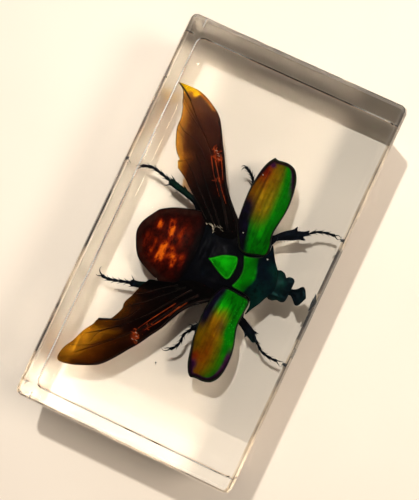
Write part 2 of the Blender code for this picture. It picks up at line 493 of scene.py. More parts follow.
class Sheet:
    """A flat outline filled with even triangles, with smooth fields over it."""

    def __init__(self, outline, step=0.25, rings=(0.05, 0.12), ease=0, extra=None):
        o = np.array(outline, float)
        if area2(o) < 0:
            o = o[::-1].copy()
        if ease:
            o = ease_outline(o, ease)
        self.outline = o
        n = len(o)
        tan = np.roll(o, -1, 0) - np.roll(o, 1, 0)
        tan /= np.maximum(np.linalg.norm(tan, axis=1), 1e-9)[:, None]
        nrm = np.stack([-tan[:, 1], tan[:, 0]], axis=1)
        pts = [o]
        for r in rings:
            q = o + nrm * r
            ok = inside(q, o) & (dist_to(q, o) > 0.85 * r)
            pts.append(q[ok])
        deep = (rings[-1] if rings else 0) + 0.5 * step
        lo, hi = o.min(0), o.max(0)
        xs = np.arange(lo[0], hi[0] + step, step)
        ys = np.arange(lo[1], hi[1] + step, step * 0.8660254)
        g = np.array([(x + (0.5 * step if j % 2 else 0), y) for j, y in enumerate(ys) for x in xs])
        g = g[inside(g, o)]
        g = g[dist_to(g, o) > deep]
        pts.append(g)
        if extra is not None:
            pts.append(extra)
        allp = np.vstack(pts)
        vs, es, fs, _, _, _ = delaunay_2d_cdt([Vector(p) for p in allp.tolist()], [], [list(range(n))], 1, 1e-6)
        self.p = np.array([tuple(v) for v in vs])
        f = np.array([tuple(t) for t in fs if len(t) == 3])
        a, b, c = self.p[f[:, 0]], self.p[f[:, 1]], self.p[f[:, 2]]
        cr = (b[:, 0] - a[:, 0]) * (c[:, 1] - a[:, 1]) - (b[:, 1] - a[:, 1]) * (c[:, 0] - a[:, 0])
        f = np.where(cr[:, None] < 0, f[:, ::-1], f)
        self.f = f[np.abs(cr) > 1e-7]
        # boundary: edges used once
        e = np.sort(np.vstack([self.f[:, [0, 1]], self.f[:, [1, 2]], self.f[:, [2, 0]]]), axis=1)
        uq, cnt = np.unique(e, axis=0, return_counts=True)
        self.rim = np.zeros(len(self.p), bool)
        self.rim[uq[cnt == 1].ravel()] = True
        used = np.zeros(len(self.p), bool)
        used[self.f.ravel()] = True
        self.used = used
        self.edge = dist_to(self.p, o)
        self._weights()

    def _weights(self):
        f, p = self.f, self.p
        n = len(p)
        I, J, W = [], [], []
        mass = np.zeros(n)
        for k in range(3):
            i, j, l = f[:, k], f[:, (k + 1) % 3], f[:, (k + 2) % 3]
            a, b = p[i] - p[l], p[j] - p[l]
            cr = np.abs(a[:, 0] * b[:, 1] - a[:, 1] * b[:, 0])
            cot = np.clip(np.sum(a * b, axis=1) / np.maximum(cr, 1e-9), -8, 8)
            w = np.maximum(0.5 * cot, 1e-3)
            I += [i, j]
            J += [j, i]
            W += [w, w]
            mass += np.bincount(i, cr / 6, minlength=n)
        self.I, self.J, self.W = np.concatenate(I), np.concatenate(J), np.concatenate(W)
        self.mass = mass
        self.diag = np.bincount(self.I, self.W, minlength=n)

    def _lap(self, u):
        return self.diag * u - np.bincount(self.I, self.W * u[self.J], minlength=len(u))

    def solve(self, fixed, values, rhs):
        n = len(self.p)
        free = ~fixed & self.used
        u = np.where(fixed, values, 0.0)
        r = np.where(free, rhs - self._lap(u), 0.0)
        d = np.where(self.diag > 0, self.diag, 1.0)
        z = r / d
        q = z.copy()
        rz = np.dot(r, z)
        r0 = math.sqrt(max(np.dot(r, r), 1e-30))
        for _ in range(900):
            Aq = np.where(free, self._lap(q), 0.0)
            al = rz / max(np.dot(q, Aq), 1e-30)
            u += al * q
            r -= al * Aq
            if math.sqrt(np.dot(r, r)) < 1e-6 * r0:
                break
            z = r / d
            nz = np.dot(r, z)
            q = z + (nz / rz) * q
            rz = nz
        return u

    def dome(self):
        """0 on the outline, rising round to 1 at the middle."""
        u = self.solve(self.rim, np.zeros(len(self.p)), self.mass)
        u = np.clip(u, 0, None)
        return np.sqrt(u / u.max())

    def field(self, known):
        """Smooth field with the given values on the rim; known(pts) -> values."""
        val = known(self.p)
        return self.solve(self.rim, np.where(self.rim, val, 0.0), np.zeros(len(self.p)))


class Build:
    """Collects closed bodies and makes one object of them."""

    def __init__(self):
        self.v, self.f, self.a = [], [], {}
        self.n = 0

    def add(self, verts, faces, **attrs):
        m = len(verts)
        for k in set(list(self.a) + list(attrs)):
            if k not in self.a:
                self.a[k] = [0.0] * self.n
            self.a[k] += list(attrs[k]) if k in attrs else [0.0] * m
        self.v += [tuple(p) for p in verts]
        self.f += [tuple(int(i) + self.n for i in t) for t in faces]
        self.n += m

    def solid(self, s, ztop, zbot, **attrs):
        """A closed body from a Sheet: heights above and below, meeting at the rim."""
        top = [at(x, y, z) for (x, y), z in zip(s.p, ztop)]
        idx = np.where(~s.rim & s.used)[0]
        low = np.arange(len(s.p))
        low[idx] = len(s.p) + np.arange(len(idx))
        bot = [at(s.p[i, 0], s.p[i, 1], zbot[i]) for i in idx]
        faces = [tuple(t) for t in s.f] + [(low[t[0]], low[t[2]], low[t[1]]) for t in s.f]
        full = {}
        for k, val in attrs.items():
            val = np.asarray(val, float)
            full[k] = list(val) + list(val[idx])
        full["under"] = [0.0] * len(s.p) + [1.0] * len(idx)
        self.add(top + bot, faces, **full)

    def tube(self, path, radii, seg=12, flat=1.0, step=0.15, up=(0, 0, 1), cap=True, raw=False, attrs=None, lumps=None):
        """A tube along points (x, y, z) seen as by at(); flat squashes it in height."""
        p = np.array([tuple(q) + (r,) for q, r in zip(path, radii)], float)
        q = smooth_path(p, False, step) if not raw else p
        P = np.array([at(a, b, c) for a, b, c in q[:, :3]]) * 1000
        rad = q[:, 3].copy()
        if lumps is not None:
            t = np.linspace(0, 1, len(rad))
            rad = rad * lumps(t)
        T = np.gradient(P, axis=0)
        T /= np.maximum(np.linalg.norm(T, axis=1), 1e-9)[:, None]
        upv = np.array(up, float)
        rings = []
        for i in range(len(P)):
            side = np.cross(T[i], upv)
            if np.linalg.norm(side) < 1e-3:
                side = np.array([1.0, 0, 0])
            side /= np.linalg.norm(side)
            nn = np.cross(side, T[i])
            ang = np.arange(seg) * 2 * math.pi / seg
            rings.append(P[i] + np.cos(ang)[:, None] * side * rad[i] + np.sin(ang)[:, None] * nn * rad[i] * flat)
        # rounded ends
        def endcap(c, ring, t, r, sign):
            o = []
            for k in (0.5, 0.85):
                o.append(c + (ring - c) * math.sqrt(max(0, 1 - k * k)) + t * sign * r * k * 0.8)
            return o, c + t * sign * r * 0.8
        first, tip0 = endcap(P[0], rings[0], T[0], rad[0], -1)
        last, tip1 = endcap(P[-1], rings[-1], T[-1], rad[-1], 1)
        allr = first[::-1] + rings + last
        V = np.vstack(allr + [tip0[None], tip1[None]]) / 1000
        m = len(allr)
        F = []
        for i in range(m - 1):
            for j in range(seg):
                k = (j + 1) % seg
                F.append((i * seg + j, i * seg + k, (i + 1) * seg + k, (i + 1) * seg + j))
        a0, a1 = m * seg, m * seg + 1
        for j in range(seg):
            k = (j + 1) % seg
            F.append((a0, k, j))
            F.append((a1, (m - 1) * seg + j, (m - 1) * seg + k))
        self.add(V.tolist(), F, **(attrs(V) if attrs else {}))

    def spine(self, a, b, r, bend=0.0):
        """A short thorn from a to b (x, y, z), thick end at a."""
        a, b = np.array(a, float), np.array(b, float)
        d = b - a
        side = np.array([-d[1], d[0], 0.0]) * bend
        mid = (a + b) / 2 + side
        self.tube([a, (a + mid) / 2 + side * 0.25, mid, (b + mid) / 2 + side * 0.1, b], [r, r * 0.85, r * 0.6, r * 0.33, r * 0.08], seg=8, step=0.12)

    def ball(self, c, r, sub=2, squash=(1, 1, 1), rough=0.0, seed=0):
        bm = bmesh.new()
        bmesh.ops.create_icosphere(bm, subdivisions=sub, radius=1.0)
        c0 = np.array(at(*c)) * 1000
        V = []
        for v in bm.verts:
            k = 1 + rough * noise.noise(Vector(v.co) * 1.7 + Vector((seed, 0, 0)))
            V.append(tuple((c0 + np.array(v.co) * r * k * np.array(squash)) / 1000))
        bm.verts.ensure_lookup_table()
        F = [tuple(v.index for v in f.verts) for f in bm.faces]
        bm.free()
        self.add(V, F)

    def make(self, name, mat, sharp=None):
        me = bpy.data.meshes.new(name)
        me.from_pydata(self.v, [], self.f)
        me.validate()
        for k, val in self.a.items():
            at_ = me.attributes.new(k, 'FLOAT', 'POINT')
            at_.data.foreach_set("value", np.array(val, np.float32))
        bm = bmesh.new()
        bm.from_mesh(me)
        loose = [v for v in bm.verts if not v.link_faces]
        bmesh.ops.delete(bm, geom=loose, context='VERTS')
        bmesh.ops.recalc_face_normals(bm, faces=bm.faces)
        bm.to_mesh(me)
        bm.free()
        me.shade_smooth()
        if sharp:
            me.set_sharp_from_angle(angle=math.radians(sharp))
        me.materials.append(mat)
        o = bpy.data.objects.new(name, me)
        bpy.context.scene.collection.objects.link(o)
        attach(o, "root")
        return o


def sstep(x, a, b):
    t = np.clip((x - a) / (b - a), 0, 1)
    return t * t * (3 - 2 * t)


def nz(x, y, z=0.0, s=1.0):
    return np.array([noise.noise(Vector((a * s, b * s, z))) for a, b in zip(x, y)])


# ---------------------------------------------------------------------------
# Outlines, in mm. +X runs down the block, +Y across it to the head.
# ---------------------------------------------------------------------------
SCUTELLUM = [(1.2, -0.4), (0.85, 0.05), (0.4, 0.6), (0, 1.1), (-0.4, 1.6), (-0.75, 2.3), (-1.0, 3.0), (-1.25, 3.9), (-1.2, 4.35), (-0.8, 4.65),
             (0, 4.85), (1, 4.9), (2, 4.85), (2.75, 4.7), (3.2, 4.35), (3.3, 3.9), (3.1, 3.2), (2.7, 2.2), (2.35, 1.6), (2.0, 1.0), (1.6, 0.3)]

PRONOTUM = [(-1.95, 5.2), (-1, 5.55), (0, 5.95), (1, 6.1), (2, 6.05), (2.8, 5.85), (3.4, 5.65), (3.8, 5.5), (4.05, 5.75), (4.12, 6.4), (4.15, 7.2),
            (4.25, 8.1), (4.45, 8.9), (4.9, 9.55), (5.8, 9.9), (6.8, 9.85), (7.5, 9.75), (7.35, 10.0), (6.2, 10.5), (5, 11.2), (4, 11.65), (3.3, 11.95), (2.6, 12.35),
            (1.5, 12.65), (0.4, 12.65), (-0.8, 12.4), (-1.6, 12.05), (-2.2, 11.7), (-3, 11), (-4.0, 10.3), (-5, 9.65), (-5.75, 9.2), (-5.5, 9.05), (-4.6, 9.1),
            (-3.7, 8.85), (-3.05, 8.3), (-2.6, 7.5), (-2.25, 6.6), (-2.05, 5.8)]

HEAD = [(-1.9, 11.2), (-2.15, 11.9), (-2.25, 12.5), (-2.15, 13.1), (-1.8, 13.5), (-1.5, 13.75), (-1.7, 13.95), (-1.9, 14.3), (-1.92, 14.9), (-1.75, 15.2), (-1.4, 15.38),
        (-0.7, 15.4), (0.3, 15.42), (1.2, 15.4), (2.0, 15.36), (2.55, 15.2), (2.83, 14.8), (2.87, 14.3), (2.8, 13.9), (3.05, 13.45), (3.28, 13.1), (3.2, 12.75),
        (3.0, 12.35), (3.05, 11.9), (2.9, 11.2), (2.0, 10.7), (0.5, 10.5), (-1.0, 10.7)]

HORN = [(-0.1, 15.0), (-0.1, 15.5), (-0.3, 16.0), (-0.7, 16.5), (-1.15, 16.85), (-1.3, 17.2), (-1.1, 17.6), (-0.6, 17.95), (0, 18.25), (0.3, 18.42), (0.8, 18.27),
        (1.5, 18.0), (2.0, 17.75), (2.28, 17.4), (2.2, 17.0), (1.8, 16.6), (1.4, 16.2), (1.12, 15.8), (1.1, 15.4), (1.1, 15.0)]

ELY_L = {"tip": [(-20.1, 2.9), (-19.95, 3.6), (-20.08, 4.5), (-20.15, 5.4), (-20.0, 6.3)],
         "outer": [(-20.0, 6.3), (-19.7, 6.9), (-19.2, 7.4), (-18.4, 7.9), (-17.3, 8.3), (-16, 8.55), (-15, 8.7), (-13.5, 8.83), (-12, 8.8), (-10.5, 8.65),
                   (-9, 8.45), (-8, 8.33), (-7, 8.4), (-6, 8.65), (-5, 8.9), (-3.9, 8.95)],
         "base": [(-3.9, 8.95), (-3.3, 8.6), (-3.05, 7.9), (-2.85, 7.2), (-2.5, 6.2), (-2.3, 5.3), (-2.4, 4.5), (-2.8, 3.8)],
         "inner": [(-2.8, 3.8), (-4, 3.05), (-5.5, 2.2), (-7.2, 1.6), (-8, 1.48), (-9.5, 1.33), (-11, 1.2), (-12.5, 1.13), (-14, 1.15), (-15.3, 1.28),
                   (-16.5, 1.45), (-17.5, 1.65), (-18.4, 1.92), (-19.2, 2.3), (-20.1, 2.9)]}

ELY_R = {"base": [(4.9, 4.05), (4.6, 4.5), (4.5, 5.3), (4.5, 6.3), (4.6, 7.3), (4.7, 8.4), (4.85, 9.2), (5.2, 9.6)],
         "outer": [(5.2, 9.6), (6.0, 9.68), (7, 9.6), (9, 9.5), (10, 9.55), (11, 9.75), (12, 10.08), (13, 10.38), (14, 10.63), (15, 10.79), (16.5, 10.87), (18, 10.8),
                   (19, 10.63), (19.8, 10.36), (20.4, 9.98), (21, 9.4), (21.35, 8.6)],
         "tip": [(21.35, 8.6), (21.5, 7.8), (21.48, 6.95), (21.56, 6.25), (21.7, 5.8), (21.5, 5.4), (21.1, 5.0)],
         "inner": [(21.1, 5.0), (20.4, 4.6), (19.5, 4.2), (18.5, 3.92), (17.5, 3.7), (16.5, 3.48), (15.5, 3.27), (14.5, 3.13), (13.7, 3.05), (12.5, 2.93),
                   (11, 2.87), (9, 2.95), (7, 3.2), (6, 3.55), (4.9, 4.05)]}

WING_L = {"lead": [(-5.4, 2.9), (-6.3, 2.2), (-7.2, 1.5), (-8.2, .4), (-9.5, -.8), (-10.9, -2), (-12.2, -2.9), (-13.5, -3.7), (-14.8, -4.4), (-16, -5.1), (-17.3, -5.9), (-18.6, -6.7),
                   (-19.8, -7.4), (-21, -8.1), (-22.2, -8.9), (-23.2, -9.9), (-23.9, -11), (-24.6, -12.3), (-25.1, -13.5), (-25.4, -14.7), (-25.45, -15.8), (-25.4, -17),
                   (-25.33, -18), (-25.25, -18.7)],
          "trail": [(-25.25, -18.7), (-24.9, -18.2), (-24.6, -17.5), (-24, -17.1), (-23.2, -16.8), (-22.3, -16.5), (-21.4, -16), (-20.5, -15.75), (-19.5, -15.5), (-18.5, -15.5),
                    (-17.7, -15.4), (-17, -15.2), (-16, -14.8), (-15, -14.4), (-14, -13.8), (-13.3, -13.05), (-12.75, -12.5), (-12.4, -12.72), (-12.1, -12.6), (-11.5, -12.3),
                    (-11.2, -12.2), (-10.9, -11.6), (-10.5, -11), (-10.1, -10.3), (-9.7, -9.7), (-9.2, -9.1), (-8.7, -8.6), (-7.6, -7.2), (-6.5, -5.8), (-5.2, -4.4)],
          "base": [(-5.2, -4.4), (-4.0, -2.6), (-3.2, -0.6), (-3.4, 1.4), (-4.2, 2.6), (-5.4, 2.9)]}

WING_R = {"lead": [(7.4, 4.0), (8.2, 2.9), (8.9, 2.0), (9.9, .9), (11, -.2), (12, -.8), (13, -1.2), (14, -1.7), (15, -2.1), (16, -2.6), (17, -3.2), (18, -3.8), (19, -4.4), (20, -4.95),
                   (21, -5.6), (22, -6.35), (23, -7), (24, -7.7), (25, -8.45), (26, -9.3), (26.8, -10.2), (27.5, -11.5), (28.1, -12.8), (28.6, -14), (28.9, -15),
                   (29.1, -16), (29.1, -16.8), (28.8, -17.3)],
          "trail": [(28.8, -17.3), (28.2, -17.4), (27.4, -17.3), (26.6, -17.1), (25.9, -16.8), (25, -16.25), (24, -15.8), (23, -15.45), (22, -15), (21.2, -14.5), (20.5, -14.05),
                    (20, -13.9), (19.6, -13.8), (19.3, -13.4), (19.1, -12.8), (18.9, -12.2), (18.6, -11.7), (18.1, -11.45), (17.4, -11.1), (16.6, -10.75), (15.8, -10.5),
                    (15, -10.6), (14.3, -10.5), (13.5, -10.15), (12.7, -9.8), (12, -9.6), (10.8, -9.2), (9.8, -8.7), (9.1, -8.3), (8.8, -7.6), (8.4, -6), (7.8, -4.2)],
          "base": [(7.8, -4.2), (6.6, -2.6), (5.8, -0.6), (5.6, 1.6), (6.1, 3.4), (7.4, 4.0)]}

ABDOMEN = [(1.5, -14.1), (0.7, -14.0), (0, -13.8), (-1, -13.3), (-2, -12.7), (-3, -12.05), (-3.45, -11.5), (-3.95, -10.7), (-4.45, -9.8), (-4.95, -8.6), (-5.35, -7.4),
           (-5.7, -6.3), (-5.92, -5.3), (-6, -4), (-5.8, -2.4), (-5.0, -0.6), (-3.4, 0.8), (-1.0, 1.7), (1.6, 1.9), (4.2, 1.6), (6.2, 0.6), (7.4, -1), (8.15, -2.8), (8.55, -4.6),
           (8.7, -5.8), (8.62, -6.8), (8.3, -7.8), (8, -8.6), (7.6, -9.6), (7.15, -10.6), (6.6, -11.5), (6, -12.15), (5, -12.85), (4, -13.35), (3, -13.8), (2.2, -14.05)]

THORAX = [(-5.3, -3.4), (-5.9, -1.6), (-5.6, 0.6), (-4.6, 2.4), (-3.6, 3.9), (-3.4, 5.6), (-3.6, 7.2), (-2.6, 8.6), (0.8, 9.0), (4.2, 8.8), (5.6, 7.6), (5.7, 5.8), (6.4, 4.4),
          (7.8, 3.0), (8.5, 1.2), (8.7, -1.0), (8.2, -3.0), (6.0, -4.4), (1.6, -5.0), (-3.0, -4.6)]

# ---------------------------------------------------------------------------
# Materials
# ---------------------------------------------------------------------------
M_RESIN = resin_material()
M_ELY_L = green_shell("wing_case_left_green", lin(22, 10, 16), 0.25)
M_ELY_R = green_shell("wing_case_right_green", lin(20, 8, 22), 0.8)
M_SCUT = plate_green("scutellum_green", lin(4, 148, 2), lin(0, 120, 0))
M_PRON = plate_green("pronotum_green", lin(2, 142, 0), lin(0, 120, 0), (lin(0, 9, 22), lin(1, 38, 34)))
M_DARK = dark_shell("chitin_black_blue", lin(3, 3, 6), lin(5, 6, 14), lin(5, 16, 24))
M_HEAD = dark_shell("head_blue_green", lin(3, 8, 18), lin(5, 22, 30), lin(8, 58, 50), (0.22, 0.38), 0.58)
M_LEG = dark_shell("leg_black_green", lin(4, 4, 9), lin(6, 12, 22), lin(4, 34, 28), (0.22, 0.4), 0.6)
M_EYE = dark_shell("eye_brown_black", lin(8, 6, 6), lin(20, 12, 10), lin(40, 22, 14), (0.1, 0.2), 0.6, 0.0)
M_ABD = abdomen_material()
M_WING_L = wing_material(
    "hind_wing_left_amber",
    [(0.0, lin(12, 5, 8)), (0.14, lin(34, 15, 16)), (0.30, lin(70, 42, 40)), (0.48, lin(104, 66, 46)),
     (0.64, lin(150, 98, 46)), (0.80, lin(188, 130, 50)), (0.90, lin(226, 170, 40)), (1.0, lin(255, 216, 20))], -0.747)
M_WING_R = wing_material(
    "hind_wing_right_amber",
    [(0.0, lin(10, 4, 7)), (0.14, lin(28, 12, 12)), (0.30, lin(56, 28, 12)), (0.48, lin(92, 52, 8)),
     (0.64, lin(128, 82, 10)), (0.80, lin(166, 112, 20)), (1.0, lin(224, 164, 40))], 0.707)
M_VEIN = vein_material("wing_vein_brown", lin(8, 4, 6), lin(24, 11, 10))
M_VEIN_OR = vein_material("wing_vein_orange", lin(92, 30, 10), lin(170, 70, 26))
M_SPECK = speck_material("pale_specks", lin(196, 200, 196), lin(240, 240, 236))
# pale creases of skin, also used for the painted glints on the wing folds
M_CREASE_AND_PAINTED_GLINT = speck_material("silver_creases_and_painted_glints", lin(120, 106, 92), lin(226, 218, 206))
M_DUST = speck_material("dust_grey", lin(70, 74, 66), lin(120, 122, 110))

# ---------------------------------------------------------------------------
# Resin block: the CAD solid with a clear material
# ---------------------------------------------------------------------------
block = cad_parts["resin_block"]
block.data.materials.clear()
block.data.materials.append(M_RESIN)


# ---------------------------------------------------------------------------
# Wing cases
# ---------------------------------------------------------------------------
def spot(x, y, cx, cy, rx, ry):
    return np.exp(-((x - cx) / rx) ** 2 - ((y - cy) / ry) ** 2)


def tone_left(x, y, u, v, e):
    """Green at the base and outer side, olive and orange inwards, red at the inner tip."""
    warm = (0.56 - 0.38 * v - 0.26 * sstep(v, 0.58, 0.88)) * sstep(x, -5.5, -11.0) + 0.16 * sstep(v, 0.9, 0.5) * sstep(x, -4.0, -9.0)
    warm = warm + 0.26 * spot(x, y, -17.2, 2.6, 1.8, 0.8)
    dusk = sstep(v, 0.42, 0.10) * sstep(x, -14.0, -9.8) + 0.9 * sstep(y, 4.3, 3.2) * sstep(x, -8.5, -5.0)
    dusk = dusk + 0.6 * spot(x, y, -15.5, 3.1, 2.8, 0.13)
    plum = spot(x, y, -18.8, 3.2, 0.6, 0.6) + 0.9 * sstep(x, -13.0, -17.5) * sstep(v, 0.80, 0.93) + 0.8 * sstep(e, 0.75, 0.45) * sstep(x, -17.0, -19.2)
    fleck = 0.5 * sstep(v, 0.6, 0.8) * sstep(x, -9.0, -12.0)
    return warm, dusk, plum, fleck


def tone_right(x, y, u, v, e):
    """Green base, brown and orange down the middle, green outer side, purple tip."""
    warm = (0.62 - 0.36 * sstep(v, 0.42, 0.95)) * sstep(x, 6.4, 11.0)
    warm = warm - 0.75 * spot(x, y, 11.3, 8.9, 1.4, 0.9) - 0.20 * spot(x, y, 14.2, 9.2, 2.2, 0.6) + 0.08 * spot(x, y, 16.5, 6.3, 3.4, 1.0)
    warm = warm + 0.25 * spot(x, y, 18.0, 4.8, 1.1, 0.7) + 0.14 * spot(x, y, 8.4, 6.6, 1.0, 0.7)
    dusk = sstep(v, 0.34, 0.08) * sstep(x, 14.5, 10.5) + 0.42 * spot(x, y, 11.2, 7.0, 1.6, 1.0)
    plum = 0.95 * spot(x, y, 19.4, 5.1, 1.0, 0.8) + 0.9 * sstep(e, 1.15, 0.55) * sstep(x, 18.2, 20.2) + 0.9 * sstep(x, 12.5, 16.0) * sstep(v, 0.82, 0.94)
    fleck = sstep(v, 0.66, 0.78) * sstep(v, 0.97, 0.90) * sstep(x, 15.0, 12.0) * (0.45 + 0.55 * spot(x, y, 11.3, 8.9, 1.6, 1.0) + 0.4 * sstep(x, 8.6, 7.0))
    return warm, dusk, plum, fleck


def wing_case(name, parts, order, mat, rim_z, lift, tilt, tone):
    step = 0.2
    segs, tags = [], []
    for key in order:
        q = smooth_path(parts[key], False, 0.2)[:-1]
        segs.append(q)
        tags += [key] * len(q)
    o = np.vstack(segs)
    s = Sheet(o, step, (0.04, 0.1, 0.18, 0.28))
    inner = smooth_path(parts["inner"], False, 0.2)
    outer = smooth_path(parts["outer"], False, 0.2)
    base = smooth_path(parts["base"], False, 0.2)
    tip = smooth_path(parts["tip"], False, 0.2)

    def across(p):
        di, do = dist_to(p, inner, False), dist_to(p, outer, False)
        return di / np.maximum(di + do, 1e-9)

    def along(p):
        db, dt = dist_to(p, base, False), dist_to(p, tip, False)
        return db / np.maximum(db + dt, 1e-9)

    v = s.field(across)
    u = s.field(along)
    d = s.dome()
    e = s.edge
    # domed shell, shoulder hump near the base, low ribs lengthwise, raised bead round the margin
    ribs = 0.035 * np.cos(v * 2 * math.pi * 7.0) * sstep(e, 0.5, 1.3)
    hump = 0.30 * np.exp(-((u - 0.14) / 0.10) ** 2 - ((v - 0.66) / 0.2) ** 2)
    endhump = 0.16 * np.exp(-((u - 0.88) / 0.06) ** 2 - ((v - 0.42) / 0.22) ** 2)
    bead = 0.10 * np.exp(-((e - 0.22) / 0.12) ** 2)
    groove = -0.06 * np.exp(-((e - 0.52) / 0.14) ** 2)
    rim = rim_z + tilt * (v - 0.5) + 0.35 * np.sin(np.clip(u, 0, 1) * math.pi)
    top = rim + lift * d ** 1.15 + ribs + (hump + endhump) * d + bead + groove
    th = 0.30 * np.sqrt(np.clip(1 - (1 - np.clip(e / 0.16, 0, 1)) ** 2, 0, 1))
    warm, dusk, plum, fleck = (np.clip(q, 0, 1) for q in tone(s.p[:, 0], s.p[:, 1], u, v, e))
    b = Build()
    b.solid(s, top, top - th - 0.02 * (1 - s.rim), along=u, across=v, edge=e, warm=warm, dusk=dusk, plum=plum, fleck=fleck)
    return b.make(name, mat)


wing_case("elytron_left", ELY_L, ["tip", "outer", "base", "inner"], M_ELY_L, 12.2, 1.45, -0.35, tone_left)
wing_case("elytron_right", ELY_R, ["base", "outer", "tip", "inner"], M_ELY_R, 12.2, 1.45, -0.35, tone_right)


# ---------------------------------------------------------------------------
# Scutellum and pronotum
# ---------------------------------------------------------------------------
def scutellum():
    s = Sheet(smooth_path(SCUTELLUM, True, 0.16), 0.17, (0.04, 0.1, 0.18, 0.28))
    d, e = s.dome(), s.edge
    x, y = s.p[:, 0], s.p[:, 1]
    top = 12.75 + 0.55 * d ** 1.1 + 0.06 * np.exp(-((e - 0.24) / 0.12) ** 2) + 0.02 * nz(x, y, 3, 1.3)
    bot = 12.55 - 1.2 * d
    b = Build()
    b.solid(s, top, bot, edge=e, across=(y - y.min()) / (y.max() - y.min()))
    return b.make("scutellum", M_SCUT)


def pronotum():
    s = Sheet(smooth_path(PRONOTUM, True, 0.22), 0.24, (0.05, 0.12, 0.22, 0.34))
    d, e = s.dome(), s.edge
    x, y = s.p[:, 0], s.p[:, 1]
    mid = 0.75
    # the bright part ends along a curve that bulges towards the head
    v = (y - (7.8 + 1.0 * np.exp(-((x - 0.9) / 1.9) ** 2))) / 6.0 + 0.5
    slope = -0.9 * sstep(y, 8.2, 12.6)
    furrow = -0.05 * np.exp(-((x - mid) / 0.3) ** 2) * sstep(y, 6.4, 7.4) * sstep(y, 11.0, 9.5)
    top = 11.9 + 1.75 * d ** 1.1 + slope * d ** 0.5 + 0.08 * np.exp(-((e - 0.26) / 0.13) ** 2) + furrow
    bot = 11.7 - 4.6 * d ** 1.0 + 0.3 * nz(x, y, 8, 0.7) * d
    b = Build()
    b.solid(s, top, bot, edge=e, across=v)
    return b.make("pronotum", M_PRON)


scutellum()
pronotum()


# ---------------------------------------------------------------------------
# Head with its horn, eyes, antennae and mouth parts
# ---------------------------------------------------------------------------
def head():
    s = Sheet(smooth_path(HEAD, True, 0.14), 0.16, (0.03, 0.08, 0.15))
    d, e = s.dome(), s.edge
    x, y = s.p[:, 0], s.p[:, 1]
    mid = 0.55
    ridge = 0.28 * np.exp(-((x - mid) / 0.55) ** 2) * sstep(y, 12.6, 14.6)
    brow = 0.16 * np.exp(-((np.abs(x - mid) - 1.75) / 0.35) ** 2) * sstep(y, 11.8, 12.4) * sstep(y, 14.2, 13.6)
    lip = 0.14 * np.exp(-((e - 0.16) / 0.1) ** 2) * sstep(y, 13.6, 14.2)
    dish = -0.18 * np.exp(-((np.abs(x - mid) - 1.1) / 0.45) ** 2) * sstep(y, 13.6, 14.3)
    top = 10.9 + 0.75 * d ** 0.9 + (ridge + brow + dish) * d ** 0.6 + lip + 0.35 * sstep(y, 12.5, 15.4)
    bot = 10.8 - 1.9 * d ** 0.9 * sstep(y, 16.2, 13.6) + 0.35 * sstep(y, 12.5, 15.4)
    b = Build()
    b.solid(s, top, bot, edge=e)
    return b.make("head", M_HEAD)


def horn():
    s = Sheet(smooth_path(HORN, True, 0.11), 0.13, (0.03, 0.07))
    d, e = s.dome(), s.edge
    x, y = s.p[:, 0], s.p[:, 1]
    rise = 0.8 * sstep(y, 15.0, 18.4)
    dish = -0.16 * np.exp(-((x - 0.5) / 0.75) ** 2 - ((y - 17.3) / 0.55) ** 2)
    keel = 0.22 * np.exp(-((x - 0.5) / 0.22) ** 2) * sstep(y, 16.9, 16.0)
    top = 11.45 + rise + 0.38 * d ** 0.9 + dish + keel
    bot = 11.35 + rise - 0.42 * d
    b = Build()
    b.solid(s, top, bot, edge=e)
    return b.make("clypeal_horn", M_HEAD)


def eyes():
    for nm, c in (("eye_left", (-1.85, 12.45, 10.55)), ("eye_right", (2.85, 12.6, 10.55))):
        b = Build()
        b.ball(c, 0.55, 3, (0.85, 1.05, 1.0), 0.03, 1)
        b.make(nm, M_EYE)


def antennae():
    # short elbowed feelers tucked under the head, each with a three-leaf club
    for nm, sx in (("antenna_left", -1), ("antenna_right", 1)):
        b = Build()
        cx = 0.55
        base = (cx + sx * 1.5, 13.2, 9.9)
        p = [base, (cx + sx * 2.0, 13.5, 9.5), (cx + sx * 2.35, 13.2, 9.2), (cx + sx * 2.5, 12.7, 9.0), (cx + sx * 2.45, 12.2, 8.9)]
        b.tube(p, [0.16, 0.12, 0.1, 0.1, 0.12], seg=10, lumps=lambda t: 1 + 0.22 * np.cos(t * 2 * math.pi * 7))
        for k in range(3):
            q0 = (cx + sx * 2.45, 12.2, 8.9 - 0.16 * (k - 1))
            q1 = (cx + sx * (2.3 - 0.05 * k), 11.2, 8.7 - 0.2 * (k - 1))
            b.tube([q0, ((q0[0] + q1[0]) / 2 + sx * 0.05, 11.7, (q0[2] + q1[2]) / 2), q1], [0.1, 0.22, 0.12], seg=10, flat=0.35)
        b.make(nm, M_LEG)


def mouth_parts():
    b = Build()
    cx = 0.55
    for sx in (-1, 1):
        b.tube([(cx + sx * 0.5, 13.6, 9.3), (cx + sx * 0.8, 14.3, 9.0), (cx + sx * 0.7, 15.0, 9.2)], [0.22, 0.16, 0.1], seg=10,
               lumps=lambda t: 1 + 0.18 * np.cos(t * 2 * math.pi * 3))
        b.tube([(cx + sx * 0.25, 13.4, 9.1), (cx + sx * 0.35, 13.9, 8.8), (cx + sx * 0.3, 14.4, 8.8)], [0.2, 0.14, 0.08], seg=10)
    s = Sheet(smooth_path([(-0.35, 12.2), (-0.6, 13.0), (-0.4, 13.9), (0.55, 14.2), (1.5, 13.9), (1.7, 13.0), (1.45, 12.2), (0.55, 11.9)], True, 0.15), 0.18, (0.04, 0.1))
    d = s.dome()
    b.solid(s, 9.4 + 0.3 * d, 9.3 - 0.45 * d)
    return b.make("mouth_parts", M_LEG)


head()
horn()
eyes()
antennae()
mouth_parts()


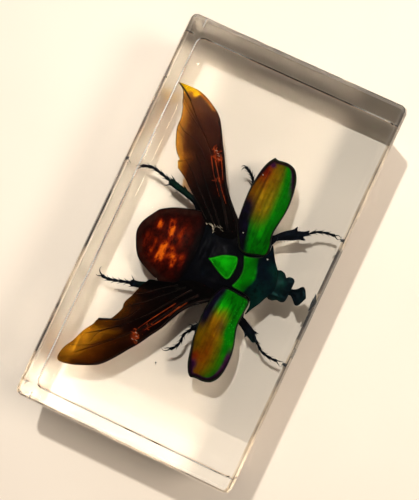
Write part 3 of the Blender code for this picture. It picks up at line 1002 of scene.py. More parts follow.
# ---------------------------------------------------------------------------
# Thorax: the black middle body under the wing bases, with its breast plates
# ---------------------------------------------------------------------------
def thorax():
    s = Sheet(smooth_path(THORAX, True, 0.28), 0.3, (0.06, 0.16))
    d, e = s.dome(), s.edge
    x, y = s.p[:, 0], s.p[:, 1]
    mid = 1.1
    knobs = 0.35 * np.exp(-((np.abs(x - mid) - 4.0) / 0.9) ** 2 - ((y - 2.6) / 1.1) ** 2)
    ridge = 0.22 * np.cos(y * 2 * math.pi / 2.3) * np.exp(-((x - mid) / 2.8) ** 2) * sstep(y, 0.4, -0.6)
    top = 9.6 + 2.75 * d ** 0.8 + knobs * d + ridge * d + 0.10 * nz(x, y, 4, 0.9) * d
    seam = -0.22 * np.exp(-((x - mid) / 0.18) ** 2)
    plate = -0.18 * np.exp(-((y - 3.4) / 0.22) ** 2) - 0.18 * np.exp(-((y + 1.8) / 0.22) ** 2)
    bot = 9.5 - (3.9 * d ** 0.75 + (seam + plate) * d)
    b = Build()
    b.solid(s, top, bot, edge=e)
    for sx in (-1, 1):
        # leg roots
        b.tube([(mid + sx * 1.0, -2.6, 5.9), (mid + sx * 3.6, -2.9, 6.0), (mid + sx * 6.0, -3.0, 6.7)], [0.8, 1.15, 0.8], seg=18, flat=0.8)
        b.tube([(mid + sx * 1.2, 3.9, 6.1), (mid + sx * 3.2, 4.0, 6.3), (mid + sx * 4.8, 3.8, 6.9)], [0.8, 1.0, 0.7], seg=18, flat=0.85)
    # blunt keel between the middle legs
    b.tube([(mid, 1.0, 5.9), (mid, 3.2, 5.5), (mid, 5.0, 5.6), (mid, 5.9, 6.1)], [0.5, 0.7, 0.6, 0.35], seg=14, flat=0.7)
    return b.make("thorax", M_DARK)


thorax()


# ---------------------------------------------------------------------------
# Abdomen: overlapping rings with breathing pores, domed above and below
# ---------------------------------------------------------------------------
def abdomen():
    s = Sheet(smooth_path(ABDOMEN, True, 0.2), 0.22, (0.05, 0.12, 0.22))
    d, e = s.dome(), s.edge
    x, y = s.p[:, 0], s.p[:, 1]
    cx = 1.45
    yy = y + 0.018 * (x - cx) ** 2 - 0.3          # ring edges curve round the tip
    lines = np.array([-12.4, -10.7, -8.9, -7.0, -5.0, -2.9])
    seg = np.zeros(len(x))
    stepz = np.zeros(len(x))
    for L in lines:
        seg = np.maximum(seg, np.exp(-((yy - L) / 0.13) ** 2))
        stepz += -0.12 * np.exp(-((yy - L) / 0.16) ** 2) + 0.06 * np.exp(-((yy - L - 0.4) / 0.3) ** 2)
    wrinkle = 0.05 * nz(x * 0.6, y * 2.2, 2.0, 1.1)
    side = -0.12 * np.exp(-((e - 1.35) / 0.2) ** 2) * sstep(y, -0.5, -3)
    top = 8.9 + 3.3 * d ** 0.9 + (stepz + wrinkle) * d ** 0.4 + side
    bot = 8.8 - 3.5 * d ** 0.9 - (stepz + 0.5 * wrinkle) * d ** 0.4
    def bar(cx, cy, rx, ry, lean=0.0):
        return np.exp(-((x - cx) / rx) ** 4 - ((y - cy - lean * (x - cx)) / ry) ** 4)
    hot = (0.80 * bar(-0.8, -8.4, 1.8, 0.62, 0.26) + 1.0 * bar(3.6, -8.4, 2.0, 0.72, -0.04) + 0.62 * bar(-0.8, -10.7, 0.9, 0.5)
           + 0.42 * bar(3.6, -10.4, 1.7, 0.45) + 0.72 * bar(4.1, -5.9, 1.5, 0.55) + 0.46 * bar(3.6, -4.5, 1.1, 0.6)
           + 0.48 * bar(3.1, -7.0, 1.2, 0.6) + 0.30 * bar(-0.6, -6.6, 1.7, 0.6) + 0.25 * bar(3.0, -11.8, 1.8, 0.5))
    body = np.exp(-((x - 2.0) / 5.2) ** 4 - ((y + 8.2) / 4.6) ** 4)
    glow = np.clip(hot + 0.20 * body, 0, 1)
    rear = sstep(y, -4.0, -7.5)
    front = sstep(y, -5.0, -3.0)
    b = Build()
    b.solid(s, top, bot, edge=e, seg=seg, glow=glow, rear=rear, front=front)
    o = b.make("abdomen", M_ABD)
    # breathing pores along each side
    p = Build()
    for L in lines[1:-1]:
        for sx, w in ((-1, 5.2), (1, 5.0)):
            xx = cx + sx * (w - 0.10 * abs(L + 6) ** 1.4)
            zz = 10.7
            ring = [(xx + 0.16 * math.cos(t), L + 0.9 + 0.22 * math.sin(t), zz + 0.02) for t in np.linspace(0, 2 * math.pi, 13)[:-1]]
            ring.append(ring[0])
            p.tube(ring, [0.045] * len(ring), seg=6, step=0.08)
    p.make("abdomen_pores", M_VEIN)
    return o


abdomen()


# ---------------------------------------------------------------------------
# Hind wings
# ---------------------------------------------------------------------------
def wing_height(x, y, ax, base_z):
    """Gently fluted sheet: flutes run from the wing root to its margin."""
    x, y = np.asarray(x, float), np.asarray(y, float)
    dx, dy = x - ax[0][0], y - ax[0][1]
    L = math.hypot(ax[1][0] - ax[0][0], ax[1][1] - ax[0][1])
    tx, ty = (ax[1][0] - ax[0][0]) / L, (ax[1][1] - ax[0][1]) / L
    t = (dx * tx + dy * ty) / L
    c = -dx * ty + dy * tx
    ang = np.arctan2(c, np.maximum(t * L, 0.5) + 3.0)
    flute = 0.16 * np.cos(ang * 34.0) * sstep(t, 0.05, 0.3) * (1 - 0.55 * sstep(t, 0.6, 1.0))
    sag = -0.9 * t * t
    curl = 0.25 * np.sin(t * 7.0 + 0.3 * c)
    return base_z + sag + flute + 0.35 * curl


def hind_wing(side, parts, ax, mats, base_z, amber_fn, fold_fn, veins, gold, creases):
    o = np.vstack([smooth_path(parts["lead"], False, 0.26)[:-1], smooth_path(parts["trail"], False, 0.16)[:-1], smooth_path(parts["base"], False, 0.26)[:-1]])
    s = Sheet(o, 0.27, (0.05, 0.13))
    x, y = s.p[:, 0], s.p[:, 1]
    lead = smooth_path(parts["lead"], False, 0.26)
    trail = smooth_path(parts["trail"], False, 0.26)
    dl, dt = dist_to(s.p, lead, False), dist_to(s.p, trail, False)
    v = dl / (dl + dt + 1e-9)
    z = wing_height(x, y, ax, base_z)
    fold = fold_fn(x, y)
    z = z + 0.30 * fold * nz(x, y, 5.0, 2.6) + 0.05 * nz(x, y, 1.0, 1.2)
    am = amber_fn(x, y, dl, dt)
    th = 0.035 * np.sqrt(np.clip(1 - (1 - np.clip(s.edge / 0.1, 0, 1)) ** 2, 0, 1)) + 0.01 * (~s.rim)
    b = Build()
    b.solid(s, z + th, z - th, amber=am, fold=fold, across=v)
    b.make("hind_wing_" + side, mats[0])
    vb = Build()
    for pts, r0, r1 in veins:
        q = smooth_path(np.array(pts, float), False, 0.5)
        zz = wing_height(q[:, 0], q[:, 1], ax, base_z)
        n = len(q)
        vb.tube([(a, c, h + 0.03) for (a, c), h in zip(q, zz)], np.linspace(r0, r1, n), seg=8, flat=0.75, step=0.3)
    vb.make("hind_wing_" + side + "_veins", mats[1])
    gb = Build()
    for pts, r0, r1 in gold:
        q = smooth_path(np.array(pts, float), False, 0.4)
        zz = wing_height(q[:, 0], q[:, 1], ax, base_z)
        n = len(q)
        gb.tube([(a, c, h + 0.06) for (a, c), h in zip(q, zz)], np.linspace(r0, r1, n), seg=8, flat=0.6, step=0.25)
    rnd = random.Random(11 if side == "left" else 23)
    # painted highlights: pale threads standing in for white glints on the highest folds
    hb = Build()
    for k in range(4):
        c = creases[0]
        x0, y0 = c[0] + c[2] * rnd.uniform(-0.7, 0.7), c[1] + c[3] * rnd.uniform(-0.7, 0.7)
        q = [(x0 + t * 0.24 * rnd.uniform(-1, 1), y0 + t * 0.55 + 0.04 * rnd.uniform(-1, 1)) for t in (-0.5, 0.0, 0.5)]
        zz = wing_height([a[0] for a in q], [a[1] for a in q], ax, base_z)
        hb.tube([(a[0], a[1], h + 0.26) for a, h in zip(q, zz)], [0.012, 0.035, 0.012], seg=8, flat=0.6, step=0.06)
    hb.make("hind_wing_" + side + "_glints", M_CREASE_AND_PAINTED_GLINT)
    for (cx, cy, rx, ry, k) in creases:
        for i in range(k):
            a = rnd.uniform(0, 2 * math.pi)
            px, py = cx + rx * rnd.uniform(-1, 1), cy + ry * rnd.uniform(-1, 1)
            ln = rnd.uniform(0.35, 0.95)
            pts = []
            for t in np.linspace(-0.5, 0.5, 5):
                pts.append((px + ln * t * math.cos(a) + 0.1 * rnd.uniform(-1, 1), py + ln * t * math.sin(a) + 0.1 * rnd.uniform(-1, 1)))
            zz = wing_height([p[0] for p in pts], [p[1] for p in pts], ax, base_z)
            gb.tube([(p[0], p[1], h + 0.12 + 0.08 * rnd.random()) for p, h in zip(pts, zz)], [0.03, 0.07, 0.09, 0.07, 0.03], seg=8, flat=0.5, step=0.12)
    gb.make("hind_wing_" + side + "_folds", mats[2])


def amber_left(x, y, dl, dt):
    a = 0.10 + 0.26 * sstep(y, -4.0, -9.5)
    a += 0.32 * np.exp(-(dt / 1.5) ** 2) * sstep(y, -9.5, -12.0)
    a += 0.16 * np.exp(-(dt / 3.2) ** 2) * sstep(y, -8.5, -12.5)
    a += 0.52 * np.exp(-((dl - 0.32) / 0.34) ** 2) * sstep(y, -9.8, -11.2)
    # painted highlight: a bright yellow patch near the wing tip
    a += 0.85 * spot(x, y, -24.5, -14.8, 0.50, 0.50)
    a += 0.30 * spot(x, y, -24.9, -16.6, 0.7, 1.3)
    a += 0.12 * spot(x, y, -13.2, -11.0, 1.6, 0.9)
    a -= 0.05 * spot(x, y, -20.6, -9.8, 1.8, 1.6)
    return np.clip(a, 0, 1)


def fold_left(x, y):
    f = 0.95 * spot(x, y, -16.5, -6.9, 1.4, 1.2)
    t = (x + 16.5) / 8.5
    line = -6.9 + 5.6 * t
    f += 0.50 * np.exp(-((y - line) / 0.75) ** 2) * sstep(t, -0.05, 0.1) * sstep(t, 1.05, 0.75)
    f += 0.36 * spot(x, y, -10.2, -4.6, 2.0, 0.9)
    return np.clip(f, 0, 1)


hind_wing(
    "left", WING_L, ((-5, 0), (-25, -18.5)), (M_WING_L, M_VEIN, M_VEIN_OR), 11.9, amber_left, fold_left,
    veins=[
        ([(-5.6, 2.3), (-7.3, 1.2), (-8.4, 0.1), (-10.9, -2.25), (-13.5, -3.95), (-16, -5.35), (-18.6, -6.95), (-20.4, -8.0), (-21.8, -9.1)], 0.36, 0.09),
        ([(-5.0, 0.6), (-8.2, -1.6), (-11, -3.8), (-14, -6.1), (-16.6, -8.2)], 0.26, 0.10),
        ([(-16.6, -8.2), (-18.6, -10.3), (-20.3, -12.3), (-21.8, -13.9), (-23.2, -15.3)], 0.07, 0.08),
        ([(-25.2, -18.5), (-24.8, -17.6), (-24.1, -16.5), (-23.2, -15.2)], 0.12, 0.20),
        ([(-23.6, -17.0), (-22.2, -15.3), (-20.6, -13.1), (-19.2, -11.2)], 0.05, 0.07),
        ([(-22.5, -16.4), (-20.8, -14.2), (-19.5, -12.0)], 0.045, 0.06),
        ([(-18.7, -15.4), (-17.7, -14.0), (-17.2, -12.0), (-16.2, -10.0), (-14.6, -8.4)], 0.07, 0.09),
        ([(-17.5, -15.3), (-16.7, -13.8), (-16.3, -12.6)], 0.05, 0.03),
        ([(-4.6, -0.6), (-7.6, -3.4), (-10.4, -6.0), (-13.2, -8.6), (-14.8, -10.4)], 0.18, 0.05),
        ([(-4.6, -1.8), (-7.2, -4.6), (-9.8, -7.6), (-12.2, -10.2), (-13.6, -12.4)], 0.16, 0.05),
        ([(-12.3, -12.6), (-12.9, -11.6), (-13.8, -10.6)], 0.08, 0.04),
        ([(-5.0, -3.6), (-6.8, -6.0), (-8.4, -8.2)], 0.13, 0.06),
        ([(-25.15, -18.5), (-24.4, -17.35), (-23.2, -16.75), (-21.4, -15.95), (-19.5, -15.45), (-17.7, -15.35), (-16, -14.75), (-14, -13.75), (-12.8, -12.6)], 0.05, 0.05),
        ([(-11.2, -12.1), (-10.1, -10.25), (-8.7, -8.55), (-6.5, -5.8)], 0.05, 0.06),
    ],
    gold=[
        ([(-15.2, -6.6), (-13.2, -5.1), (-11.0, -3.4), (-9.0, -1.6)], 0.10, 0.05),
        ([(-15.6, -7.6), (-13.4, -6.2), (-11.4, -4.7), (-9.6, -3.2)], 0.09, 0.04),
        ([(-16.6, -6.2), (-14.6, -5.0), (-12.6, -3.9)], 0.08, 0.04),
        ([(-23.3, -10.4), (-24.2, -12.2), (-24.9, -14.0)], 0.07, 0.05),
    ],
    creases=[(-16.4, -6.8, 1.1, 1.0, 12), (-12.6, -4.9, 0.9, 0.5, 4)])


def amber_right(x, y, dl, dt):
    tip = sstep(x + 0.25 * (y + 11), 19.0, 20.8)
    a = 0.07 + 0.11 * sstep(x, 8.5, 11.5)
    a += 0.30 * np.exp(-(dt / 1.3) ** 2) * sstep(x, 10.5, 13.0) * (1 - tip)
    a += tip * (0.16 + 0.20 * sstep(dl, 0.8, 3.2) + 0.26 * np.exp(-(dt / 2.4) ** 2))
    a += 0.16 * sstep(x, 24.5, 27.5) * sstep(dl, 0.3, 1.6)
    # painted highlight: a thin golden strip across the wing tip
    a += 0.20 * np.exp(-((y + 15.3) / 0.22) ** 2) * sstep(x, 23.0, 24.0) * sstep(x, 27.0, 25.8)
    a += 0.14 * spot(x, y, 23.0, -14.2, 1.6, 0.8)
    a -= 0.12 * spot(x, y, 21.8, -8.6, 1.6, 1.8)
    return np.clip(a, 0, 1)


def fold_right(x, y):
    f = 0.95 * spot(x, y, 19.2, -6.4, 1.4, 1.0)
    t = (x - 10.5) / 8.0
    line = -1.6 - 4.2 * t
    f += 0.50 * np.exp(-((y - line) / 0.65) ** 2) * sstep(t, -0.05, 0.12) * sstep(t, 1.1, 0.85)
    return np.clip(f, 0, 1)


hind_wing(
    "right", WING_R, ((8, 0.5), (28.5, -17)), (M_WING_R, M_VEIN, M_VEIN_OR), 11.9, amber_right, fold_right,
    veins=[
        ([(7.6, 3.3), (9.0, 1.5), (10.6, -0.1), (12, -1.05), (14, -1.95), (16, -2.85), (18, -4.05), (20, -5.2), (22, -6.6), (24, -7.95), (26, -9.6), (27.3, -11.6), (28.3, -13.9)], 0.36, 0.10),
        ([(8.0, 0.8), (10.5, -1.2), (13.5, -3.0), (16.5, -4.9), (19.0, -7.2), (21.5, -9.6), (24.0, -12.2), (26.4, -14.8)], 0.26, 0.06),
        ([(7.6, -0.6), (10.5, -2.8), (13.5, -4.8), (16.0, -6.8), (18.4, -9.2), (20.6, -11.8), (22.6, -14.6)], 0.20, 0.06),
        ([(19.3, -13.5), (18.4, -11.4), (17.6, -9.8), (16.2, -8.6), (14.4, -7.6)], 0.22, 0.07),
        ([(7.6, -1.8), (10.2, -4.4), (12.6, -6.8), (14.6, -9.2), (15.6, -10.4)], 0.15, 0.05),
        ([(7.8, -3.2), (9.6, -5.6), (11.4, -7.8), (12.4, -9.4)], 0.14, 0.05),
        ([(20.0, -11.2), (21.6, -12.6), (23.6, -13.2)], 0.09, 0.04),
        ([(21.4, -9.8), (24.0, -12.8), (25.8, -16.5)], 0.08, 0.04),
    ],
    gold=[
        ([(11.2, -1.3), (13.4, -2.5), (15.6, -3.8), (17.6, -5.2)], 0.08, 0.06),
        ([(11.0, -2.2), (13.2, -3.6), (15.4, -5.0), (17.8, -6.4)], 0.07, 0.05),
        ([(10.0, -0.4), (12.0, -1.6), (13.6, -2.3)], 0.06, 0.04),
    ],
    creases=[(19.2, -6.3, 1.2, 0.9, 12), (16.4, -4.9, 0.8, 0.5, 4)])


# ---------------------------------------------------------------------------
# Legs
# ---------------------------------------------------------------------------
def lumps(k):
    def f(t):
        ph = (t * k) % 1.0
        return 0.64 + 0.62 * ph ** 1.4 - 0.36 * np.exp(-((ph - 1.0) / 0.10) ** 2) - 0.06 * np.exp(-(ph / 0.1) ** 2)
    return f


def tarsus(b, pts, r, claws, k=5, hairs=True):
    """Jointed foot, five links widening to their ends, with two claws."""
    b.tube(pts, [r] * len(pts), seg=12, step=0.07, lumps=lumps(k))
    q = smooth_path(np.array(pts, float), False, 0.05)
    n = len(q)
    for i in range(1, k):
        c = q[min(n - 1, int(i * n / k))]
        t = q[min(n - 1, int(i * n / k) + 2)] - q[max(0, int(i * n / k) - 2)]
        t = t / max(np.linalg.norm(t), 1e-6)
        s = np.array([-t[1], t[0], 0.0])
        for sg in (-1, 1):
            a = c + s * sg * r * 0.7 - t * 0.08
            b.spine(a, a + t * r * 1.4 + s * sg * r * 1.3, r * 0.27)
    for cl in claws:
        m = len(cl)
        b.tube(cl, np.linspace(r * 0.42, r * 0.08, m), seg=8, step=0.08)


def blade(b, outline, z0, z1, y0, y1, half, step=0.15):
    """Flat toothed shin: an inflated outline whose height follows its length."""
    s = Sheet(smooth_path(outline, True, 0.1) if step < 0.2 else outline, step, (0.03, 0.08))
    d = s.dome()
    y = s.p[:, 1]
    zc = z0 + (z1 - z0) * np.clip((y - y0) / (y1 - y0), 0, 1)
    b.solid(s, zc + half * d ** 0.9, zc - half * d ** 0.9, edge=s.edge)


def front_left():
    b = Build()
    b.tube([(-2.0, 8.6, 6.9), (-3.9, 8.2, 7.3), (-5.6, 8.1, 8.2), (-7.0, 8.9, 8.9)], [0.8, 1.0, 0.95, 0.62], seg=18, flat=0.8)
    blade(b, [(-6.9, 8.3), (-7.9, 9.0), (-8.9, 10), (-9.65, 11), (-9.95, 11.35), (-10.6, 11.75), (-9.95, 12.0), (-10.05, 12.5), (-10.25, 13), (-10.45, 13.4), (-10.85, 13.95), (-10.1, 13.75),
              (-9.6, 13.6), (-9.25, 13.5), (-9.0, 14.05), (-8.75, 13.4), (-8.6, 13), (-8.0, 12), (-7.55, 11), (-7.05, 10), (-6.5, 8.9)], 8.9, 7.9, 8.5, 13.5, 0.34)
    b.spine((-8.7, 12.9, 7.95), (-8.85, 14.1, 7.7), 0.12)
    b.spine((-9.9, 13.3, 7.95), (-10.75, 14.0, 7.8), 0.14)
    for t in np.linspace(0.1, 0.9, 7):
        x, y = -6.6 - 2.0 * t, 9.2 + 3.8 * t
        b.spine((x, y, 8.5 - 0.6 * t), (x + 0.28, y + 0.28, 8.2 - 0.6 * t), 0.05)
    tarsus(b, [(-9.5, 13.3, 7.9), (-10.15, 14.0, 7.75), (-10.75, 14.65, 7.6), (-11.15, 15.2, 7.5), (-11.45, 16.0, 7.4), (-11.7, 16.9, 7.35), (-11.8, 17.7, 7.3), (-11.88, 18.4, 7.25)], 0.28,
           [[(-11.85, 18.4, 7.25), (-11.55, 18.85, 7.2), (-11.5, 19.25, 6.95), (-11.7, 19.5, 6.7)], [(-11.9, 18.4, 7.25), (-12.15, 18.8, 7.2), (-12.15, 19.2, 6.95), (-11.95, 19.45, 6.7)]])
    b.make("leg_front_left", M_LEG, 50)


def front_right():
    b = Build()
    b.tube([(3.6, 8.9, 6.9), (5.4, 8.6, 7.3), (7.0, 8.6, 8.2), (8.4, 9.3, 8.9)], [0.8, 1.0, 0.95, 0.62], seg=18, flat=0.8)
    blade(b, [(8.0, 9.3), (8.2, 10.2), (8.6, 11), (9.1, 12), (9.45, 12.7), (9.6, 13.45), (9.85, 12.95), (10.3, 13.35), (10.75, 13.6), (11.15, 13.6), (11.45, 13.25), (11.2, 12.6),
              (11.0, 12.1), (10.8, 11.75), (11.3, 11.5), (10.7, 11.25), (10.35, 10.9), (9.9, 10.2), (9.4, 9.3), (8.7, 8.9)], 8.9, 7.9, 8.5, 13.5, 0.34)
    b.spine((9.5, 12.7, 7.95), (9.62, 13.6, 7.8), 0.12)
    b.spine((9.8, 12.85, 7.95), (9.98, 13.5, 7.8), 0.09)
    b.spine((11.2, 12.7, 7.95), (11.5, 13.35, 7.8), 0.12)
    for t in np.linspace(0.1, 0.9, 7):
        x, y = 8.2 + 1.2 * t, 9.9 + 2.9 * t
        b.spine((x, y, 8.5 - 0.6 * t), (x - 0.3, y + 0.18, 8.2 - 0.6 * t), 0.05)
    tarsus(b, [(10.6, 13.1, 7.9), (10.9, 13.6, 7.75), (11.3, 14.1, 7.65), (11.7, 14.6, 7.55), (12.05, 15, 7.5), (12.3, 15.6, 7.4), (12.48, 16.3, 7.35), (12.6, 17.1, 7.3), (12.6, 17.8, 7.25), (12.55, 18.4, 7.2)], 0.28,
           [[(12.6, 18.3, 7.2), (12.85, 18.7, 7.15), (13.1, 19.1, 6.95), (13.2, 19.5, 6.7)], [(12.5, 18.35, 7.2), (12.4, 18.9, 7.15), (12.3, 19.25, 6.95), (12.2, 19.5, 6.7)]])
    b.make("leg_front_right", M_LEG, 50)


def mid_left():
    b = Build()
    b.tube([(-3.2, 3.6, 6.9), (-5.8, 3.2, 7.4), (-8.6, 2.9, 8.3), (-10.6, 3.2, 8.9)], [0.75, 0.95, 0.85, 0.5], seg=18, flat=0.8)
    b.tube([(-10.4, 3.3, 8.9), (-11.6, 2.9, 8.7), (-12.8, 2.2, 8.5), (-14.0, 1.5, 8.3)], [0.42, 0.4, 0.46, 0.55], seg=16, flat=0.85)
    for s in ((-13.8, 1.7, -14.9, 1.95), (-13.9, 1.2, -14.3, 0.3), (-12.6, 2.6, -13.1, 3.1)):
        b.spine((s[0], s[1], 8.3), (s[2], s[3], 8.1), 0.13)
    tarsus(b, [(-14.0, 1.45, 8.3), (-14.5, 1.2, 8.25), (-15.3, .6, 8.15), (-15.8, 0, 8.1), (-16.1, -.5, 8.05), (-16.4, -1.1, 8.0)], 0.31,
           [[(-16.4, -1.1, 8.0), (-16.5, -1.45, 7.9), (-16.35, -1.75, 7.75), (-16.0, -1.9, 7.6)], [(-16.3, -1.1, 8.0), (-16.1, -1.4, 7.95), (-15.8, -1.6, 7.85), (-15.55, -1.55, 7.7)]])
    b.make("leg_middle_left", M_LEG, 50)


def mid_right():
    b = Build()
    b.tube([(5.4, 3.9, 6.9), (7.6, 4.2, 7.4), (9.6, 4.4, 8.2), (11.0, 4.2, 8.8)], [0.75, 0.95, 0.85, 0.5], seg=18, flat=0.8)
    b.tube([(10.9, 4.3, 8.8), (11.9, 3.9, 8.6), (12.8, 3.2, 8.4), (13.6, 2.5, 8.3)], [0.40, 0.4, 0.46, 0.55], seg=16, flat=0.85)
    for s in ((13.2, 2.5, 13.3, 1.3), (13.9, 2.5, 14.9, 2.25), (13.7, 2.9, 14.3, 3.2), (12.6, 3.0, 12.3, 2.3), (13.5, 2.2, 14.0, 1.4)):
        b.spine((s[0], s[1], 8.3), (s[2], s[3], 8.1), 0.13)
    tarsus(b, [(13.7, 2.4, 8.3), (14.5, 1.95, 8.2), (15.2, 1.55, 8.15), (15.9, 1.45, 8.1), (16.5, 1.5, 8.05), (17.2, 1.4, 8.0), (17.8, 1.15, 8.0), (18.3, .8, 7.95), (18.7, .4, 7.9)], 0.30,
           [[(18.7, .4, 7.9), (19.1, .05, 7.85), (19.35, -.35, 7.7), (19.4, -.75, 7.6), (19.2, -1.1, 7.5)], [(18.6, .3, 7.9), (18.7, -.1, 7.85), (18.95, -.45, 7.7), (19.0, -.7, 7.6)]])
    b.make("leg_middle_right", M_LEG, 50)


def hind_left():
    b = Build()
    b.tube([(-3.6, -3.2, 6.6), (-5.0, -4.2, 6.9), (-6.2, -5.4, 7.4), (-6.9, -6.5, 7.8)], [1.05, 1.1, 0.9, 0.55], seg=18, flat=0.75)
    b.tube([(-6.8, -6.3, 7.8), (-7.3, -7.6, 7.7), (-7.75, -9.2, 7.6), (-8.1, -10.8, 7.5), (-8.4, -12.1, 7.4)], [0.5, 0.56, 0.6, 0.62, 0.66], seg=16, flat=0.7)
    b.tube([(-7.6, -8.6, 7.75), (-8.2, -9.2, 7.8), (-8.75, -9.75, 7.8)], [0.35, 0.26, 0.05], seg=12, flat=0.6)
    for s in ((-8.9, -11.7, -9.55, -12.7, 0.16), (-7.9, -12.1, -7.2, -13.15, 0.16), (-8.8, -12.0, -9.1, -13.0, 0.10), (-7.2, -10.4, -6.8, -10.9, 0.07), (-8.5, -10.6, -9.0, -11.0, 0.08)):
        b.spine((s[0], s[1], 7.4), (s[2], s[3], 7.3), s[4])
    tarsus(b, [(-8.45, -12.2, 7.4), (-8.65, -13, 7.35), (-8.95, -14.1, 7.3), (-9.15, -15, 7.3), (-9.35, -16.2, 7.25), (-9.15, -17.3, 7.2), (-8.8, -18.2, 7.2)], 0.33,
           [[(-8.8, -18.2, 7.2), (-8.75, -18.6, 7.1), (-8.6, -18.95, 6.95), (-8.3, -19.2, 6.75)], [(-8.7, -18.2, 7.2), (-8.35, -18.35, 7.1), (-8.1, -18.6, 6.95), (-8.0, -18.85, 6.75)]])
    b.make("leg_hind_left", M_LEG, 50)


def hind_right():
    b = Build()
    b.tube([(6.2, -3.0, 6.6), (7.6, -3.9, 6.9), (8.8, -4.9, 7.4), (9.6, -6.0, 7.8)], [1.05, 1.1, 0.95, 0.7], seg=18, flat=0.75)
    b.tube([(9.4, -5.6, 7.8), (9.9, -7.0, 7.7), (10.35, -8.4, 7.6), (10.7, -9.6, 7.5), (10.95, -10.8, 7.4)], [0.66, 0.76, 0.72, 0.62, 0.62], seg=16, flat=0.7)
    for s in ((10.6, -10.4, 9.7, -11.55, 0.16), (11.3, -10.3, 11.85, -11.15, 0.15), (11.2, -10.8, 11.5, -11.7, 0.10), (9.6, -8.2, 9.0, -8.6, 0.08), (11.2, -9.0, 11.75, -9.5, 0.09)):
        b.spine((s[0], s[1], 7.4), (s[2], s[3], 7.3), s[4])
    tarsus(b, [(10.95, -10.9, 7.4), (11.25, -11.9, 7.35), (11.6, -13, 7.3), (11.85, -13.9, 7.25), (12.1, -14.9, 7.2), (12.1, -15.8, 7.2), (12.0, -16.3, 7.2)], 0.33,
           [[(11.95, -16.3, 7.2), (11.7, -16.75, 7.15), (11.3, -17.1, 7.0), (10.9, -17.15, 6.85), (10.6, -17.0, 6.75)], [(12.05, -16.3, 7.2), (12.3, -16.75, 7.1), (12.35, -17.15, 6.95), (12.25, -17.4, 6.8)]])
    b.make("leg_hind_right", M_LEG, 50)


front_left()
front_right()
mid_left()
mid_right()
hind_left()
hind_right()


# ---------------------------------------------------------------------------
# Specks, creases and dust held in the resin
# ---------------------------------------------------------------------------
def specks():
    b = Build()
    for i, (x, y, z, r) in enumerate([(8.4, -7.2, 9.6, 0.10), (8.05, -3.7, 11.6, 0.11), (-3.05, 9.35, 13.2, 0.12), (-16.4, 2.2, 13.4, 0.07), (-5.55, 3.4, 13.4, 0.08)]):
        b.ball((x, y, z), r, 3, (1, 1.2, 0.8), 0.25, i)
    b.make("pale_specks", M_SPECK)
    d = Build()
    d.ball((22.0, -0.9, 6.0), 0.16, 3, (1.2, 0.9, 0.7), 0.5, 9)
    d.ball((22.3, -0.75, 6.0), 0.07, 2, (1, 1, 1), 0.5, 5)
    d.make("resin_dust", M_DUST)
    # a little crumple of silvery skin, thin threads bunched along a bent line
    w = Build()
    rnd = random.Random(7)
    spine = smooth_path(np.array([(-4.2, -3.3), (-4.5, -2.7), (-4.3, -2.1), (-3.8, -1.7), (-3.4, -1.55)]), False, 0.12)
    for k in range(15):
        c = spine[rnd.randrange(len(spine))]
        a = rnd.uniform(-0.9, 2.2)
        ln = rnd.uniform(0.20, 0.55)
        q = []
        for t in np.linspace(-0.5, 0.5, 5):
            q.append((c[0] + ln * t * math.cos(a) + rnd.uniform(-0.09, 0.09), c[1] + ln * t * math.sin(a) + rnd.uniform(-0.09, 0.09), 12.15 + rnd.uniform(-0.08, 0.08)))
        w.tube(q, [0.015, 0.04, 0.055, 0.04, 0.015], seg=8, flat=0.5, step=0.08)
    for k in range(5):
        x0, y0 = rnd.uniform(-5.3, -4.4), rnd.uniform(-2.4, -0.6)
        w.tube([(x0, y0, 12.1), (x0 + 0.25, y0 + 0.3, 12.15), (x0 + 0.3, y0 + 0.75, 12.1)], [0.012, 0.028, 0.012], seg=8, flat=0.5, step=0.08)
    w.make("membrane_creases", M_CREASE_AND_PAINTED_GLINT)


specks()

# ---------------------------------------------------------------------------
# Floor. The part of it under the block is made of separate panes, because the
# small lamp reaches each of them by its own way through the resin.
# ---------------------------------------------------------------------------
HALF_X, HALF_Y = 0.0365, 0.0205
PANE_X, PANE_Y = HALF_X - 0.00006, HALF_Y - 0.00006    # just inside the walls
RESIN_IOR = 1.56
KEY_POS = (-0.064, -0.037, 0.218)                      # small lamp, near the block
FILL_POS = (-0.053, 0.163, 0.266)                      # larger lamp on the other side


def through_resin(p):
    """Where a lamp seems to stand when it is seen from inside the resin."""
    t = THICK / 1000
    return (p[0], p[1], t + (p[2] - t) * RESIN_IOR)


KEY_IN = through_resin(KEY_POS)
_k = THICK / 1000 / (KEY_IN[2] - THICK / 1000)
RIM = 0.0013                                           # width of the cut round the top
FAR_X = -0.0324                                        # no direct light comes down beyond here
DARK_Y = RIM - HALF_Y + (RIM - HALF_Y - KEY_IN[1]) * _k + 0.0004     # the lamp's light starts here
TURN_X = HALF_X - (HALF_X - KEY_IN[0]) * _k                            # the wall turns it back as far as here
TURN_Y = HALF_Y - (HALF_Y - KEY_IN[1]) * _k


def floor_material(name, a, b):
    n = Nodes(name)
    n.set(Base_Color=n.ramp(n.noise(14, 3), [(0.3, a), (0.7, b)]), Roughness=0.42)
    n.p.inputs["Specular IOR Level"].default_value = 0.9
    return n.m


M_FLOOR = floor_material("floor_cream", lin(224, 210, 196), lin(228, 215, 201))


def floor_piece(name, rects, mat=M_FLOOR):
    """Flat rectangles (x0, x1, y0, y1) as one mesh, a grid in each."""
    verts, faces = [], []
    for x0, x1, y0, y1 in rects:
        nx = max(1, min(8, int((x1 - x0) / 0.01)))
        ny = max(1, min(8, int((y1 - y0) / 0.01)))
        base = len(verts)
        for j in range(ny + 1):
            for i in range(nx + 1):
                verts.append((x0 + (x1 - x0) * i / nx, y0 + (y1 - y0) * j / ny, -0.0001))
        for j in range(ny):
            for i in range(nx):
                q = base + j * (nx + 1) + i
                faces.append((q, q + 1, q + nx + 2, q + nx + 1))
    me = bpy.data.meshes.new(name)
    me.from_pydata(verts, [], faces)
    me.materials.append(mat)
    o = bpy.data.objects.new(name, me)
    bpy.context.scene.collection.objects.link(o)
    return o


